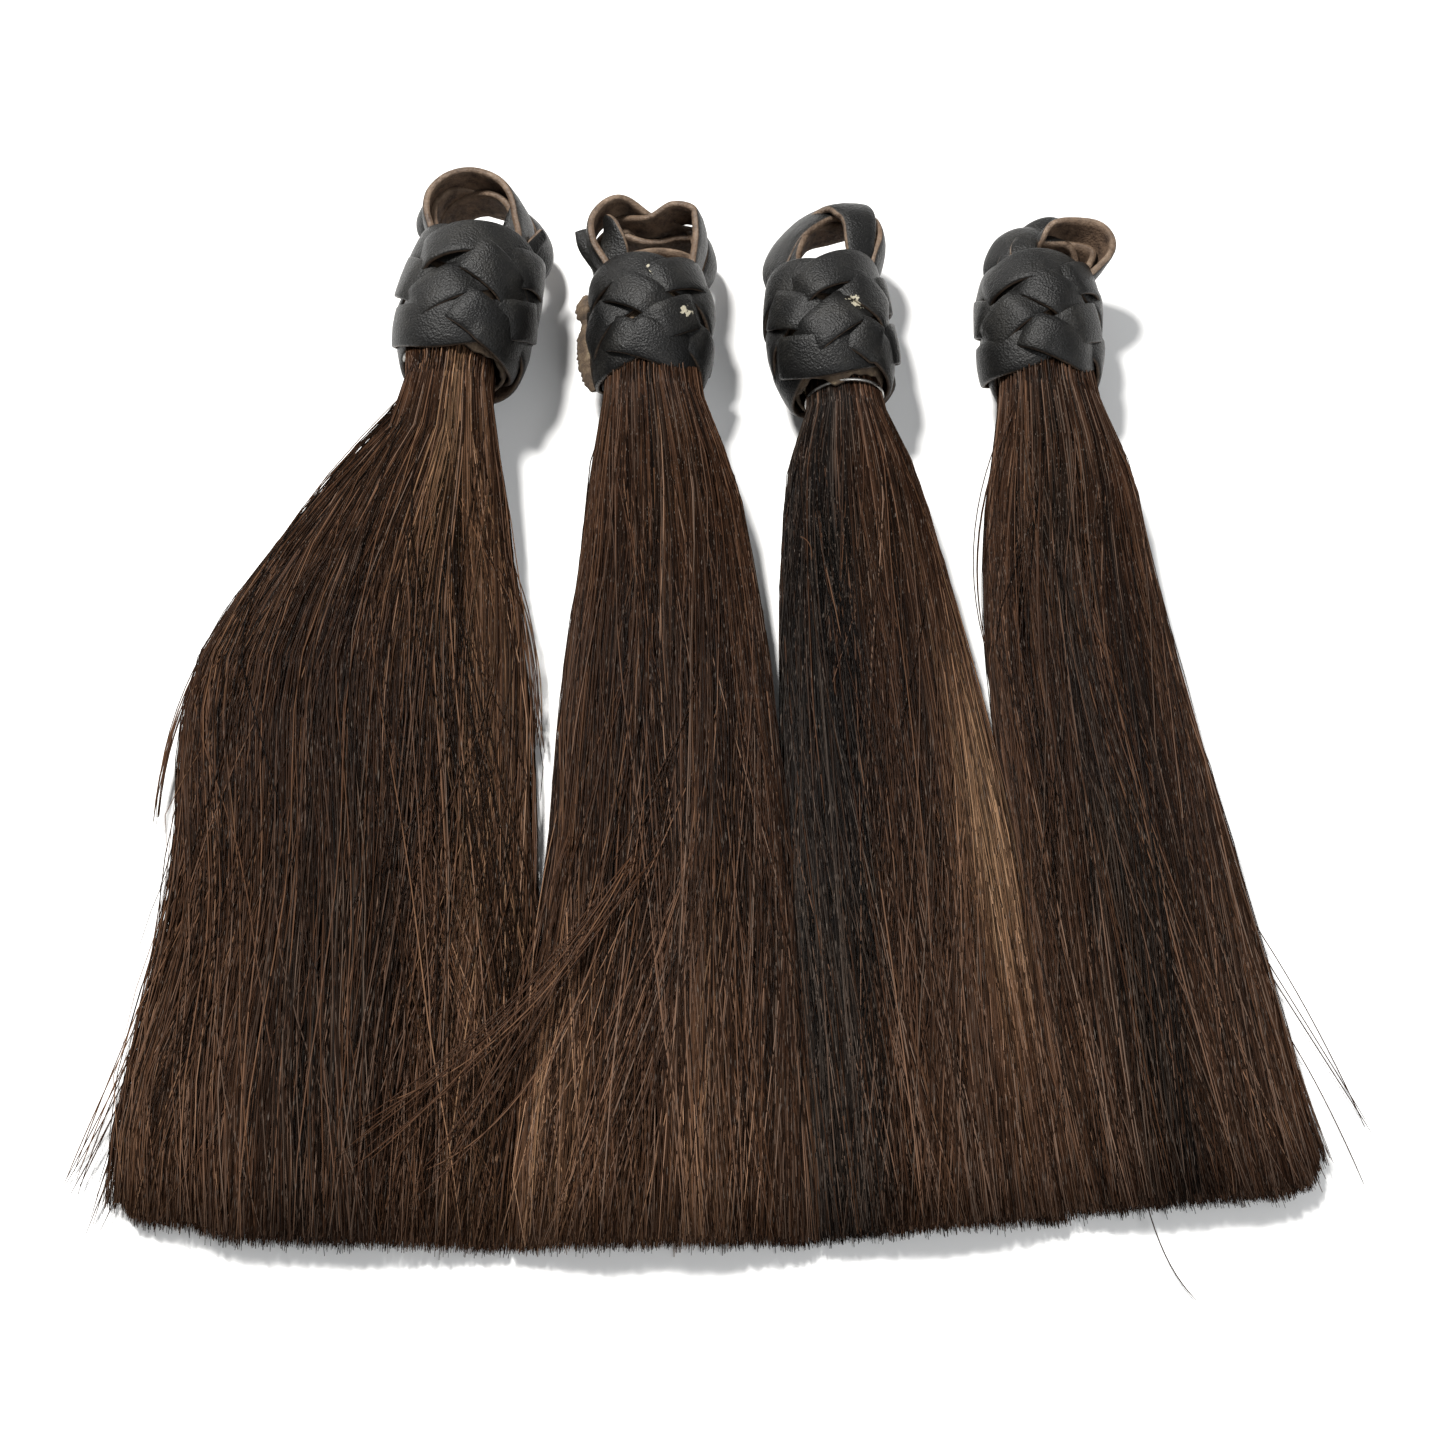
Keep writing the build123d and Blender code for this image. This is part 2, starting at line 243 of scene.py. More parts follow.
def leather_material():
    """Black thong, with a rough tan flesh side and pale cut edges."""
    n = Nodes("black_thong")
    place = n.place()
    broad = n.noise(place, 110, 3)
    fine = n.noise(place, 2200, 5, 0.65)
    grain = n.add("ShaderNodeTexVoronoi", {"Vector": place, "Scale": 1800}).outputs["Distance"]
    dark = n.ramp(broad, [(0.25, (0.003, 0.003, 0.003)), (0.75, (0.007, 0.0067, 0.0062))])
    worn = n.remap(n.maths("MULTIPLY", broad, fine), 0.26, 0.42, 0, 0.55)
    black = n.mix(worn, dark, WORN)
    scuff = n.attribute("scuff")
    flake = n.maths("ADD", scuff, n.remap(n.noise(place, 800, 3), 0.3, 0.7, -0.5, 0.3))
    black = n.mix(n.remap(flake, 0.38, 0.46, 0, 1), black, SCUFFED)
    suede = n.ramp(n.noise(place, 290, 8, 0.75),
                   [(0.36, (0.026, 0.015, 0.01)), (0.66, (0.145, 0.094, 0.061))])
    cut = n.ramp(n.noise(place, 420, 6, 0.75),
                 [(0.34, (0.06, 0.039, 0.026)), (0.66, (0.2, 0.142, 0.099))])
    colour = n.mix(n.attribute("flesh"), black, suede)
    cut = n.mix(n.remap(broad, 0.42, 0.6, 0, 0.7), cut, suede)
    colour = n.mix(n.attribute("edge"), colour, cut)
    n.shader.inputs["Specular IOR Level"].default_value = 0.23
    rough = n.remap(fine, 0.3, 0.7, 0.3, 0.54)
    rough = n.maths("ADD", rough, n.maths("MULTIPLY", n.attribute("flesh"), 0.35), True)
    height = n.maths("ADD", n.maths("MULTIPLY", grain, 0.7), n.maths("MULTIPLY", fine, 0.9))
    n.bump(height, 0.16 * MM, 1)
    return n.finish(colour, rough)


def rough_material(name, stretch, broad, stops, fine, bump, rough):
    """Colour from a broad noise; bumps and roughness from a fine one."""
    n = Nodes(name)
    place = n.place(stretch)
    colour = n.ramp(n.noise(place, *broad), stops)
    grain = n.noise(place, *fine)
    n.bump(grain, *bump)
    return n.finish(colour, n.remap(grain, 0.3, 0.7, *rough))


def lining_material():
    """Natural leather lining: rough brown flesh side."""
    stops = [(0.28, (0.022, 0.014, 0.009)), (0.55, (0.09, 0.06, 0.036)), (0.8, (0.2, 0.155, 0.095))]
    return rough_material("natural_lining", (1, 1, 1), (380, 6, 0.7), stops, (1700, 4),
                          (0.25 * MM, 0.9), (0.75, 0.95))


def wood_material():
    """Turned plug: faint rings and pores."""
    stops = [(0.3, (0.1, 0.06, 0.035)), (0.7, (0.24, 0.155, 0.09))]
    return rough_material("turned_plug", (1, 0.15, 1), (500, 5), stops, (1600, 3),
                          (0.1 * MM, 0.6), (0.6, 0.85))


def cord_material():
    """Waxed whipping cord: twisted plies by a slanted wave."""
    n = Nodes("waxed_cord")
    inputs = {"Vector": n.place(), "Scale": 700, "Distortion": 2}
    wave = n.add("ShaderNodeTexWave", inputs, wave_type="BANDS", bands_direction="DIAGONAL")
    plies = wave.outputs["Fac"]
    colour = n.ramp(plies, [(0.1, (0.1, 0.075, 0.045)), (0.9, (0.28, 0.21, 0.13))])
    n.bump(plies, 0.1 * MM, 0.7)
    return n.finish(colour, 0.55)


def wire_material():
    """Dull steel wire, tarnished in patches."""
    n = Nodes("wire")
    patch = n.noise(n.place(), 420, 4)
    n.shader.inputs["Metallic"].default_value = 1.0
    colour = n.ramp(patch, [(0.35, (0.1, 0.095, 0.09)), (0.6, (0.38, 0.37, 0.35))])
    n.bump(n.noise(n.place(), 1800, 3), 0.03 * MM, 0.5)
    return n.finish(colour, n.remap(patch, 0.3, 0.7, 0.45, 0.22))


# ---- mesh helpers


def mesh_from_grid(name, rings, wrap=False, strip=(0.0, 1.0)):
    """A mesh from rings of points: an array (strands, stations, points round, 3).

    With wrap, the last station is the first again, so the one strand meets itself."""
    strands, stations, sides, _ = rings.shape
    index = np.arange(strands * stations * sides).reshape(strands, stations, sides)
    after = np.roll(index, -1, axis=2)
    loops = np.stack([index[:, :-1], after[:, :-1], after[:, 1:], index[:, 1:]], axis=-1).reshape(-1)
    starts = np.arange(len(loops) // 4) * 4
    totals = np.full(len(starts), 4)
    if not wrap:
        ends = np.concatenate([index[:, 0, ::-1], index[:, -1, :]])
        starts = np.concatenate([starts, len(loops) + np.arange(len(ends)) * sides])
        totals = np.concatenate([totals, np.full(len(ends), sides)])
        loops = np.concatenate([loops, ends.reshape(-1)])
    points = rings.reshape(-1, 3)
    corners = loops
    if wrap:
        points = points[:-sides]
        corners = loops % len(points)
    mesh = bpy.data.meshes.new(name)
    mesh.vertices.add(len(points))
    mesh.vertices.foreach_set("co", points.reshape(-1).astype(np.float32))
    mesh.loops.add(len(loops))
    mesh.loops.foreach_set("vertex_index", corners.astype(np.int32))
    mesh.polygons.add(len(starts))
    mesh.polygons.foreach_set("loop_start", starts.astype(np.int32))
    mesh.polygons.foreach_set("loop_total", totals.astype(np.int32))
    mesh.polygons.foreach_set("use_smooth", np.ones(len(starts), bool))
    mesh.update(calc_edges=True)
    add_cell_uv(mesh, loops, rings.shape, strip)
    return mesh


def add_cell_uv(mesh, loops, shape, strip):
    """Gives each strand its own cell of the map, between two heights."""
    strands, stations, sides, _ = shape
    columns = math.ceil(math.sqrt(strands))
    strand = loops // (stations * sides)
    station = (loops // sides) % stations
    side = loops % sides
    across = 0.2 + 0.6 * side / max(sides - 1, 1)
    along = 0.08 + 0.84 * station / (stations - 1)
    u = (strand % columns + across) / columns
    v = strip[0] + (strip[1] - strip[0]) * (strand // columns + along) / columns
    layer = mesh.uv_layers.new(name=BAKE_UV)
    layer.data.foreach_set("uv", np.stack([u, v], axis=-1).reshape(-1).astype(np.float32))


def add_value(mesh, name, values):
    layer = mesh.attributes.new(name, "FLOAT", "POINT")
    layer.data.foreach_set("value", np.asarray(values, np.float32).reshape(-1))


def add_leather_values(mesh, sides, stations, cut, scuff):
    """Marks a thong's flesh side, cut edges and scuffs."""
    add_value(mesh, "flesh", np.tile((sides[:, 1] < -0.5).astype(float), stations))
    add_value(mesh, "edge", np.tile(cut, stations))
    add_value(mesh, "scuff", scuff)


def add_rigid(name, mesh, material, head, part):
    """Adds a piece that moves with the head, in place of one of its parts."""
    mesh.materials.append(material)
    piece = add_object(name, mesh)
    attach(piece, head.name + "_head")
    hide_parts(head.name + part)


def bell(value, middle, reach):
    return np.exp(-(((value - middle) / reach) ** 2))


def smooth_step(value):
    value = np.clip(value, 0, 1)
    return value * value * (3 - 2 * value)


# ---- what the frame says


class Head:
    """Place and size of one tassel's head, read from the frame."""

    def __init__(self, name):
        flex = JOINTS[name + "_loop_flex"]
        low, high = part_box(name + "_knot_thong")
        self.name = name
        self.mouth = Vector(flex["pos_m"])
        self.across = Vector(flex["axis"]).normalized()
        self.down = Vector((self.across.y, -self.across.x, 0))
        middle = (low + high) / 2
        self.radius = (high.z - low.z) / 2
        self.length = 2 * (middle - self.mouth).dot(self.down)
        self.centre = self.mouth + self.down * self.length / 2
        self.neck = Vector(JOINTS[name + "_hair_swing"]["pos_m"])

    def place(self, x, up, along):
        """Row points from the head's own x, height and distance towards the hair."""
        x, up, along = np.broadcast_arrays(x, up, along)
        out = np.empty((*x.shape, 3))
        for i in range(3):
            out[..., i] = self.centre[i] + x * self.across[i] + along * self.down[i]
        out[..., 2] += up
        return out


# ---- knots

LEADS = 5
BIGHTS = 4
THONG_THICK = 1.35 * MM
THONG_WIDTH = 0.29  # share of the head's length
WEAVE_RISE = 0.82 * MM
KNOT_STATIONS = 420
KNOT_EDGE = 0.55  # how pale the knot's cut edges are, from 0 to 1
HAIR_END_TAPER = 2.9 * MM
MOUTH_TAPER = 1.3 * MM
LINING_SIDES = 96
LINING_ROWS = 14
# Across the thong, from edge to edge over the grain side and back under the flesh side:
# share of the half width, share of the half thickness
THONG_PROFILE = [
    (-1.0, 0.0), (-0.975, 0.62), (-0.92, 0.9), (-0.6, 1.0), (0.0, 1.06), (0.6, 1.0),
    (0.92, 0.9), (0.975, 0.62), (1.0, 0.0), (0.97, -0.8), (0.6, -1.0), (0.0, -1.0),
    (-0.6, -1.0), (-0.97, -0.8),
]
KNOT_TURN = {"tassel1": 0.35, "tassel2": 1.1, "tassel3": 0.1, "tassel4": 0.75}
# Pale scuffs on the grain: tassel, x across the head, distance towards the hair, reach, in mm
SCUFFS = {"tassel2": [(8.6, 2.0, 2.8), (-1.0, -9.5, 1.8)], "tassel3": [(5.4, -1.0, 2.3)]}


def weave_height(turn):
    """Rise over a crossing or dip under one, from -1 to 1."""
    crossing = turn * BIGHTS / math.pi
    share = crossing % LEADS
    wave = -np.cos(np.pi * share)
    flat = np.sin(np.pi / 2 * np.clip(1.5 * wave, -1, 1))
    first = np.sin(np.pi * share / 2)
    last = -np.sin(np.pi * (LEADS - share) / 2)
    return np.where(share < 1, first, np.where(share > LEADS - 1, last, flat))


def knot_surface(head, turn, shift, height, phase):
    """A point of the woven thong's surface, in the head's own x, height and length."""
    reach = head.length * (1 - THONG_WIDTH) / 2
    wobble = 0.25 * MM * np.sin(3.1 * turn + 5 * phase)
    along = reach * np.cos(BIGHTS * turn / LEADS) + wobble
    slope = -reach * BIGHTS / LEADS * np.sin(BIGHTS * turn / LEADS)
    middle = head.radius - WEAVE_RISE - THONG_THICK / 2
    size = np.sqrt(slope**2 + middle**2)
    angle = turn + shift * slope / size / middle
    along = along - shift * middle / size
    uneven = 0.22 * MM * np.sin(2 * turn + 7 * phase) * np.sin(3.3 * turn)
    radius = middle - rim_taper(2 * along / head.length) + uneven + height
    return radius * np.cos(angle + phase), radius * np.sin(angle + phase), along


def rim_taper(share):
    """How much slimmer the knot is at a share of its half length."""
    return np.where(share > 0, HAIR_END_TAPER, MOUTH_TAPER) * np.abs(share) ** 2.2


def make_knot(head, leather):
    turn = np.linspace(0, 2 * math.pi * LEADS, KNOT_STATIONS, endpoint=False) + math.pi / BIGHTS
    phase = KNOT_TURN[head.name]
    width = head.length * THONG_WIDTH / 2
    profile = np.array(THONG_PROFILE)
    breathe = 1 + 0.035 * np.sin(2.3 * turn + 9 * phase)
    tilt = 0.10 * np.sin(1.7 * turn + 3 * phase)
    shift = width * profile[None, :, 0] * breathe[:, None]
    height = WEAVE_RISE * weave_height(turn)[:, None] + THONG_THICK / 2 * profile[None, :, 1]
    height = height + shift * tilt[:, None]
    x, up, along = knot_surface(head, turn[:, None], shift, height, phase)
    rings = head.place(x, up, along)
    rings = np.concatenate([rings, rings[:1]])[None]
    name = head.name + "_woven_knot"
    mesh = mesh_from_grid(name, rings, wrap=True)
    cut = (np.abs(profile[:, 0]) > 0.99) * KNOT_EDGE
    add_leather_values(mesh, profile, KNOT_STATIONS, cut, scuff_values(head, rings[:, :-1]))
    add_rigid(name, mesh, leather, head, "_knot_thong")


def scuff_values(head, rings):
    points = rings.reshape(-1, 3) - np.array(head.centre)
    x = points @ np.array(head.across)
    along = points @ np.array(head.down)
    total = np.zeros(len(points))
    for spot_x, spot_along, reach in SCUFFS.get(head.name, []):
        gap = np.hypot(x - spot_x * MM, along - spot_along * MM) / (reach * MM)
        total = np.maximum(total, np.where(points[:, 2] > 0, 1 - smooth_step(gap), 0))
    return total


def make_lining(head, lining, tongue):
    """Sleeve under the knot, with rough ends and, on one tassel, a brown tongue."""
    angle = np.linspace(0, 2 * math.pi, LINING_SIDES, endpoint=False)
    ends = []
    for side in (-1, 1):
        rough = 0.35 * MM * np.sin(7 * angle + side) + 0.2 * MM * np.sin(17 * angle + 2)
        end = side * (head.length / 2 - 1.6 * MM) + rough
        if side == 1 and tongue:
            end = end + 3.0 * MM * bell(angle, 1.64, 0.36)
        ends.append(end)
    share = np.linspace(0, 1, LINING_ROWS)[:, None]
    along = ends[0] + (ends[1] - ends[0]) * share
    outer = head.radius - 3.4 * MM + 0.1 * MM * np.sin(11 * angle) * np.sin(9 * share)
    outer = outer - rim_taper(2 * along / head.length)
    inner = outer - 0.9 * MM
    loop = np.concatenate([np.broadcast_to(outer, along.shape),
                           np.broadcast_to(inner, along.shape)[::-1]])
    lengths = np.concatenate([along, along[::-1]])
    rings = head.place(loop * np.cos(angle), loop * np.sin(angle), lengths)
    rings = np.concatenate([rings, rings[:1]])[None]
    name = head.name + "_lining"
    mesh = mesh_from_grid(name, rings, wrap=True)
    add_rigid(name, mesh, lining, head, "_inner_sleeve")


# ---- loops

STRAP_THICK = 1.9 * MM
END_THICK = 1.5 * MM
PLAIT_STATIONS = 150
FLAP_STATIONS = 120
FLAP_THICK = 1.7 * MM
FLAP_ROUGHNESS = 0.16 * MM
END_STATIONS = 40
ARCH_HALF_WIDTH = 4.4
# Two of the loops keep the shape of an arch. Its middle line: x and height above the mouth, and
# how far its near edge leans inwards (degrees), from the left tail to the right
ARCHES = {
    "tassel1": [(-9.6, -4, 0), (-11.2, 0, 0), (-13.3, 5, 0), (-13.4, 10.5, 0), (-10, 15.2, 0),
                (-3.8, 17.4, 0), (3.8, 16, 8), (9.6, 11.8, 22), (12.3, 5.5, 24), (12, 0, 12),
                (9.8, -4, 0)],
    "tassel2": [(-9, -4, 0), (-10.8, 0, 0), (-13.8, 6, 0), (-13.8, 13, 0), (-8.2, 18.6, 0),
                (-0.5, 16.6, 0), (6, 17.6, 0), (12, 16, 12), (13.2, 9, 15), (11, 1, 5), (9.4, -4, 0)],
}
# The three thongs of an arch: share along it, shift towards the near side, rise outwards, in mm
ARCH_THONGS = {"tassel1": [
    [(0, 5, 0.5), (0.25, 5.4, 0.7), (0.5, 5.6, 0.9), (0.75, 5.4, 0.7), (1, 5, 0.5)],
    [(0, -5, -0.6), (0.3, -5, -0.9), (0.46, -2, -1.1), (0.6, 1.6, -1.2), (0.8, 3, -0.9),
     (1, 2, -0.6)],
    [(0, 1, -0.9), (0.28, 1.4, -0.6), (0.44, -2, 0.4), (0.6, -5, 0.6), (1, -5.2, 0.2)],
], "tassel2": [
    [(0, 4.6, 0.7), (0.2, 5, 0.9), (0.36, 4.2, 1), (0.5, 0, 0.2), (0.62, -4, -1.4), (0.8, -4.8, 0.2),
     (1, -4.6, 0.4)],
    [(0, -4.6, 0), (0.2, -4.8, 0.2), (0.36, -3.6, -1.4), (0.5, 1.2, -1.4), (0.62, 4.8, -0.2),
     (0.76, 4.8, 0.3), (1, 4.6, 0.6)],
    [(0, -1, -1.3), (0.2, -2.6, -2), (0.36, -4.2, -3.6), (0.5, -4.6, -4.4), (0.64, -4.2, -4),
     (0.8, -2.6, -2), (1, 0, -1)],
]}
# The other two are bent out of shape, so each thong has its own line: x, height, distance above
# the mouth, half width, and the way its grain side faces (across, up, out of the mouth)
FREE_THONGS = {"tassel3": [
    [(-10, 0, -4, 4.6, -1, 0.2, 0), (-11.6, 0.5, 0, 5, -1, 0.35, 0),
     (-11.2, 1, 5, 5.4, -0.85, 0.65, 0.2), (-9, 1.4, 9.6, 5.6, -0.7, 0.75, 0.4),
     (-5.6, 2, 13.6, 5.4, -0.55, 0.75, 0.6), (-1, 2.4, 16.8, 4.8, -0.4, 0.8, 0.6),
     (4, 2.2, 18.6, 4.2, 0, 0.8, 0.7), (8.4, 0.5, 17.4, 4, 0.4, 0.5, 0.7),
     (11.5, -2.5, 14, 4, 0.8, 0.2, 0.5), (12.5, -4.5, 8, 4, 1, 0, 0), (10.5, -5.5, 1, 4, 1, 0, 0),
     (9.5, -5.5, -4, 4, 1, 0, 0)],
    [(8.6, 4.6, -4, 3.2, 0.3, 0.9, 0), (9.2, 6.4, 0, 3.4, 0.3, 0.9, 0),
     (9.6, 7.6, 5.5, 3.7, 0.3, 0.9, 0), (10.2, 7.6, 11, 4.4, 0.25, 0.9, 0.1),
     (9.6, 6.8, 15.2, 4.9, 0.15, 0.85, 0.4), (6.8, 4.2, 18.8, 4.8, -0.1, 0.4, 0.9),
     (2.6, -0.4, 19.2, 4.2, -0.3, -0.1, 0.9), (-4, -3.4, 14.8, 4, -0.7, -0.2, 0.6),
     (-8.4, -5, 8, 4, -1, 0, 0.2), (-9.4, -5.5, 1, 4, -1, 0, 0), (-9, -5.5, -4, 4, -1, 0, 0)],
    [(-7.2, 4.6, -4, 3.4, -0.7, 0.7, 0), (-8.4, 4.4, 1, 3.6, -0.8, 0.6, 0),
     (-6.8, 2.8, 6.4, 4.2, -0.8, 0.3, 0.5), (-2.6, 0.6, 12.8, 4.1, -0.5, 0, 0.9),
     (3.4, -1.8, 15.8, 4.1, -0.2, 0, 1), (10.2, -2.2, 16.8, 4, 0.4, 0.1, 0.9),
     (15, 0.2, 14, 4, 1, 0.1, 0.4), (15.6, 2.2, 8, 3.8, 1, 0.1, 0), (13.4, 3.2, 1.5, 3.6, 1, 0.2, 0),
     (11, 3, -4, 3.4, 1, 0.2, 0)],
], "tassel4": [
    [(-8.6, 1.6, -4, 4.2, -0.7, 0.6, 0), (-9.6, 2.4, 0, 4.3, -0.7, 0.6, 0),
     (-9.4, 3.2, 3.8, 4.3, -0.6, 0.7, 0.2), (-6.8, 4.2, 7.6, 4.2, -0.3, 0.85, 0.4),
     (-2.4, 4.6, 9.4, 4, -0.1, 0.9, 0.4), (2.4, 3.2, 10.2, 3.8, 0.1, 0.8, 0.5),
     (7, 0, 9.8, 4, 0.3, 0.3, 0.8), (10.2, -3.4, 7, 4, 0.9, 0, 0.3), (10.2, -5, 1, 4, 1, 0, 0),
     (9.2, -5.2, -4, 4, 1, 0, 0)],
    [(-6.6, 4, -4, 3.4, -0.2, 0.9, 0), (-6.6, 5.2, 0.5, 3.4, -0.2, 0.95, 0.1),
     (-4.4, 5.4, 4.6, 3.4, -0.1, 0.8, 0.5), (-0.4, 3.6, 8.4, 3.8, -0.1, 0.4, 0.9),
     (4.4, 3.4, 11.4, 4.2, -0.1, -0.1, 1), (10.4, 4, 11.2, 4.6, 0.2, -0.3, 1),
     (15.6, 4.4, 8.8, 4.7, 0.8, -0.35, 0.6), (17.4, 4.4, 4.6, 4.6, 1, -0.35, 0),
     (15.4, 3.6, 0.4, 4.4, 1, -0.2, -0.3), (11.4, 2.6, -4, 4, 0.9, 0, -0.4)],
    [(-8.4, -5.4, -4, 4, -1, 0, 0), (-9.4, -5.2, 2, 4.2, -1, 0, 0.1),
     (-7, -4.4, 6.8, 4.6, -0.7, -0.1, 0.8), (-1.6, -3.2, 8.6, 5, -0.1, -0.25, 1),
     (4.4, -2.6, 8.8, 5.2, 0.1, -0.3, 1), (10, -2.4, 7.8, 5.2, 0.4, -0.3, 0.9),
     (14.2, -1.6, 4.6, 5.6, 0.9, -0.2, 0.4), (13.6, -0.4, 0.6, 5, 1, 0, 0),
     (10.4, 0.4, -4, 3.8, 1, 0, 0)],
]}
# Cut ends of thongs tucked out at the mouth, in the same terms
THONG_ENDS = {"tassel1": [
    [(7, 3.2, -5, 3, 0, 0.9, -0.4), (7.4, 4.6, 0, 3.1, -0.1, 0.9, -0.4),
     (7.4, 5.4, 5, 2.5, -0.1, 0.9, -0.4), (6.8, 6.2, 10.4, 0.7, 0, 0.9, -0.3)],
    [(11.4, 5.2, -5, 2, 0.8, 0.6, 0), (13.2, 4.8, 0, 2, 0.8, 0.6, 0),
     (15, 3.4, 5.6, 1.5, 0.9, 0.5, 0)],
    [(-12.6, 0.6, 2, 2.2, -0.85, 0.5, 0), (-15.6, 0.8, 6, 2.8, -0.85, 0.5, 0),
     (-16, 1, 10.5, 3, -0.8, 0.55, 0.3), (-13.4, 1.2, 15.6, 3, -0.6, 0.6, 0.6),
     (-8.8, 0.8, 18.6, 2.4, -0.3, 0.6, 0.8), (-5, -1.6, 18.2, 1.8, -0.1, 0.3, 0.9)],
], "tassel2": [
    [(-8.2, 3.6, -5, 3.8, -0.2, 0.9, -0.3), (-9.2, 5.4, 1, 4, -0.3, 0.9, -0.3),
     (-9.6, 6.6, 6, 3.8, -0.5, 0.8, -0.3), (-10.2, 7.4, 10.4, 2.8, -0.8, 0.6, -0.2),
     (-11.2, 7.2, 13.6, 1.2, -0.9, 0.4, 0)],
    [(-11, -4, 3.6, 4.8, 0, -0.5, 1), (-5.5, -3.6, 5.4, 5.2, 0, -0.5, 1),
     (0, -3.2, 6.4, 5.4, 0, -0.5, 1), (5.5, -3.4, 6, 5.2, 0, -0.5, 1),
     (11, -4, 4.2, 4.8, 0, -0.5, 1)],
    [(-10, 1.6, -3, 2.2, -0.7, 0.6, 0), (-13.6, 2.4, 4, 2.4, -0.7, 0.6, 0.2),
     (-16.2, 2.6, 9, 2.4, -0.5, 0.8, 0.3), (-17.4, 1.6, 13.4, 2, -0.2, 0.8, 0.6)],
], "tassel4": [
    [(-3.4, 5.4, -5, 3, 0, 0.95, 0), (-3.2, 7.2, 0, 3.2, 0, 0.95, 0.1),
     (-3.4, 7.6, 3.4, 3.4, 0, 0.95, 0.3), (-2.6, 7, 6.8, 2.8, 0, 0.9, 0.5)],
    [(-4.6, 0.6, 9, 2.2, -0.3, 0.8, 0.5), (-0.4, 1.8, 13, 2.7, -0.2, 0.9, 0.3),
     (4.6, 2, 15, 2.5, 0.1, 0.9, 0.3), (8.8, 1.4, 14.2, 1.6, 0.4, 0.8, 0.3)],
]}


def smooth_rows(rows, count):
    """Rows spaced evenly on a smooth curve through these; the first 3 columns place it."""
    p = np.array(rows, float)
    padded = np.concatenate([2 * p[:1] - p[1:2], p, 2 * p[-1:] - p[-2:-1]])
    pieces = []
    u = np.linspace(0, 1, 24, endpoint=False)[:, None]
    for i in range(len(p) - 1):
        a, b, c, d = padded[i:i + 4]
        pieces.append(0.5 * (2 * b + (c - a) * u + (2 * a - 5 * b + 4 * c - d) * u**2
                             + (3 * b - a - 3 * c + d) * u**3))
    dense = np.concatenate([*pieces, p[-1:]])
    step = np.linalg.norm(np.diff(dense[:, :3], axis=0), axis=1)
    gone = np.concatenate([[0], np.cumsum(step)])
    wanted = np.linspace(0, gone[-1], count)
    return np.stack([np.interp(wanted, gone, dense[:, k]) for k in range(p.shape[1])], axis=-1)


def unit(vectors):
    return vectors / (np.linalg.norm(vectors, axis=-1, keepdims=True) + 1e-12)


def strap_mesh(head, name, rows, thick, rough=0.0):
    """A thong along rows of x, height, distance above the mouth, half width and facing, in mm."""
    middle = rows[:, :3] * MM
    ahead = unit(np.gradient(middle, axis=0))
    face = rows[:, 4:7]
    face = unit(face - (face * ahead).sum(axis=1, keepdims=True) * ahead)
    across = np.cross(ahead, face)
    profile = np.array(THONG_PROFILE)
    count = len(rows)
    spot = np.arange(count)[:, None]
    width = rows[:, 3:4] * MM * (1 + 0.03 * np.sin(0.21 * spot + rows[:1, 0]))
    shift = width * profile[None, :, 0]
    if rough:
        uneven = np.sin(0.9 * spot + 2 * profile[None, :, 0]) + np.sin(0.37 * spot + 1)
        shift = shift + rough * uneven * np.sign(profile[None, :, 0])
    lift = thick / 2 * profile[None, :, 1] * np.ones((count, 1))
    cup = 0.10 * (shift**2) / (width + 1e-9)
    points = middle[:, None] + across[:, None] * shift[..., None]
    points = points + face[:, None] * (lift - cup)[..., None]
    mouth = -head.length / 2
    rings = head.place(points[..., 0], points[..., 1], mouth - points[..., 2])[None]
    mesh = mesh_from_grid(name, rings)
    cut = (np.abs(profile[:, 0]) > 0.96).astype(float)
    add_leather_values(mesh, profile, count, cut, np.zeros(count * len(profile)))
    return mesh


def arch_rows(head, thong, count):
    line = smooth_rows([(x, 0, h, lean) for x, h, lean in ARCHES[head.name]], count)
    share = np.linspace(0, 1, count)
    spots = np.array(thong)
    table = smooth_rows([(s * 50, side, rise) for s, side, rise in spots], 200)
    side = np.interp(share * 50, table[:, 0], table[:, 1])
    rise = np.interp(share * 50, table[:, 0], table[:, 2])
    ahead = unit(np.gradient(line[:, [0, 2]], axis=0))
    out = np.stack([-ahead[:, 1], np.zeros(count), ahead[:, 0]], axis=-1)
    lean = np.radians(line[:, 3])[:, None]
    up = np.array([0.0, 1.0, 0.0])
    near = up * np.cos(lean) - out * np.sin(lean)
    face = out * np.cos(lean) + up * np.sin(lean)
    middle = line[:, :3] + near * side[:, None] + face * rise[:, None]
    width = np.full((count, 1), ARCH_HALF_WIDTH)
    return np.concatenate([middle, width, face], axis=1)


def add_strap(head, name, rows, leather, thick=STRAP_THICK):
    """Adds a thong on a smooth curve between the head and the rocking loop."""
    strap = add_object(name, strap_mesh(head, name, rows, thick))
    strap.data.materials.append(leather)
    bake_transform(strap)
    return strap


def make_loop(head, leather):
    for number, letter in enumerate("abc"):
        name = f"{head.name}_plait_{letter}"
        if head.name in ARCHES:
            rows = arch_rows(head, ARCH_THONGS[head.name][number], PLAIT_STATIONS)
        else:
            rows = smooth_rows(FREE_THONGS[head.name][number], PLAIT_STATIONS)
        strap = add_strap(head, name, rows, leather)
        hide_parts(f"{head.name}_loop_thong_{letter}")
    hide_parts(head.name + "_loop_root")
    for number, rows in enumerate(THONG_ENDS.get(head.name, [])):
        name = f"{head.name}_thong_end_{number + 1}"
        add_strap(head, name, smooth_rows(rows, END_STATIONS), leather, END_THICK)


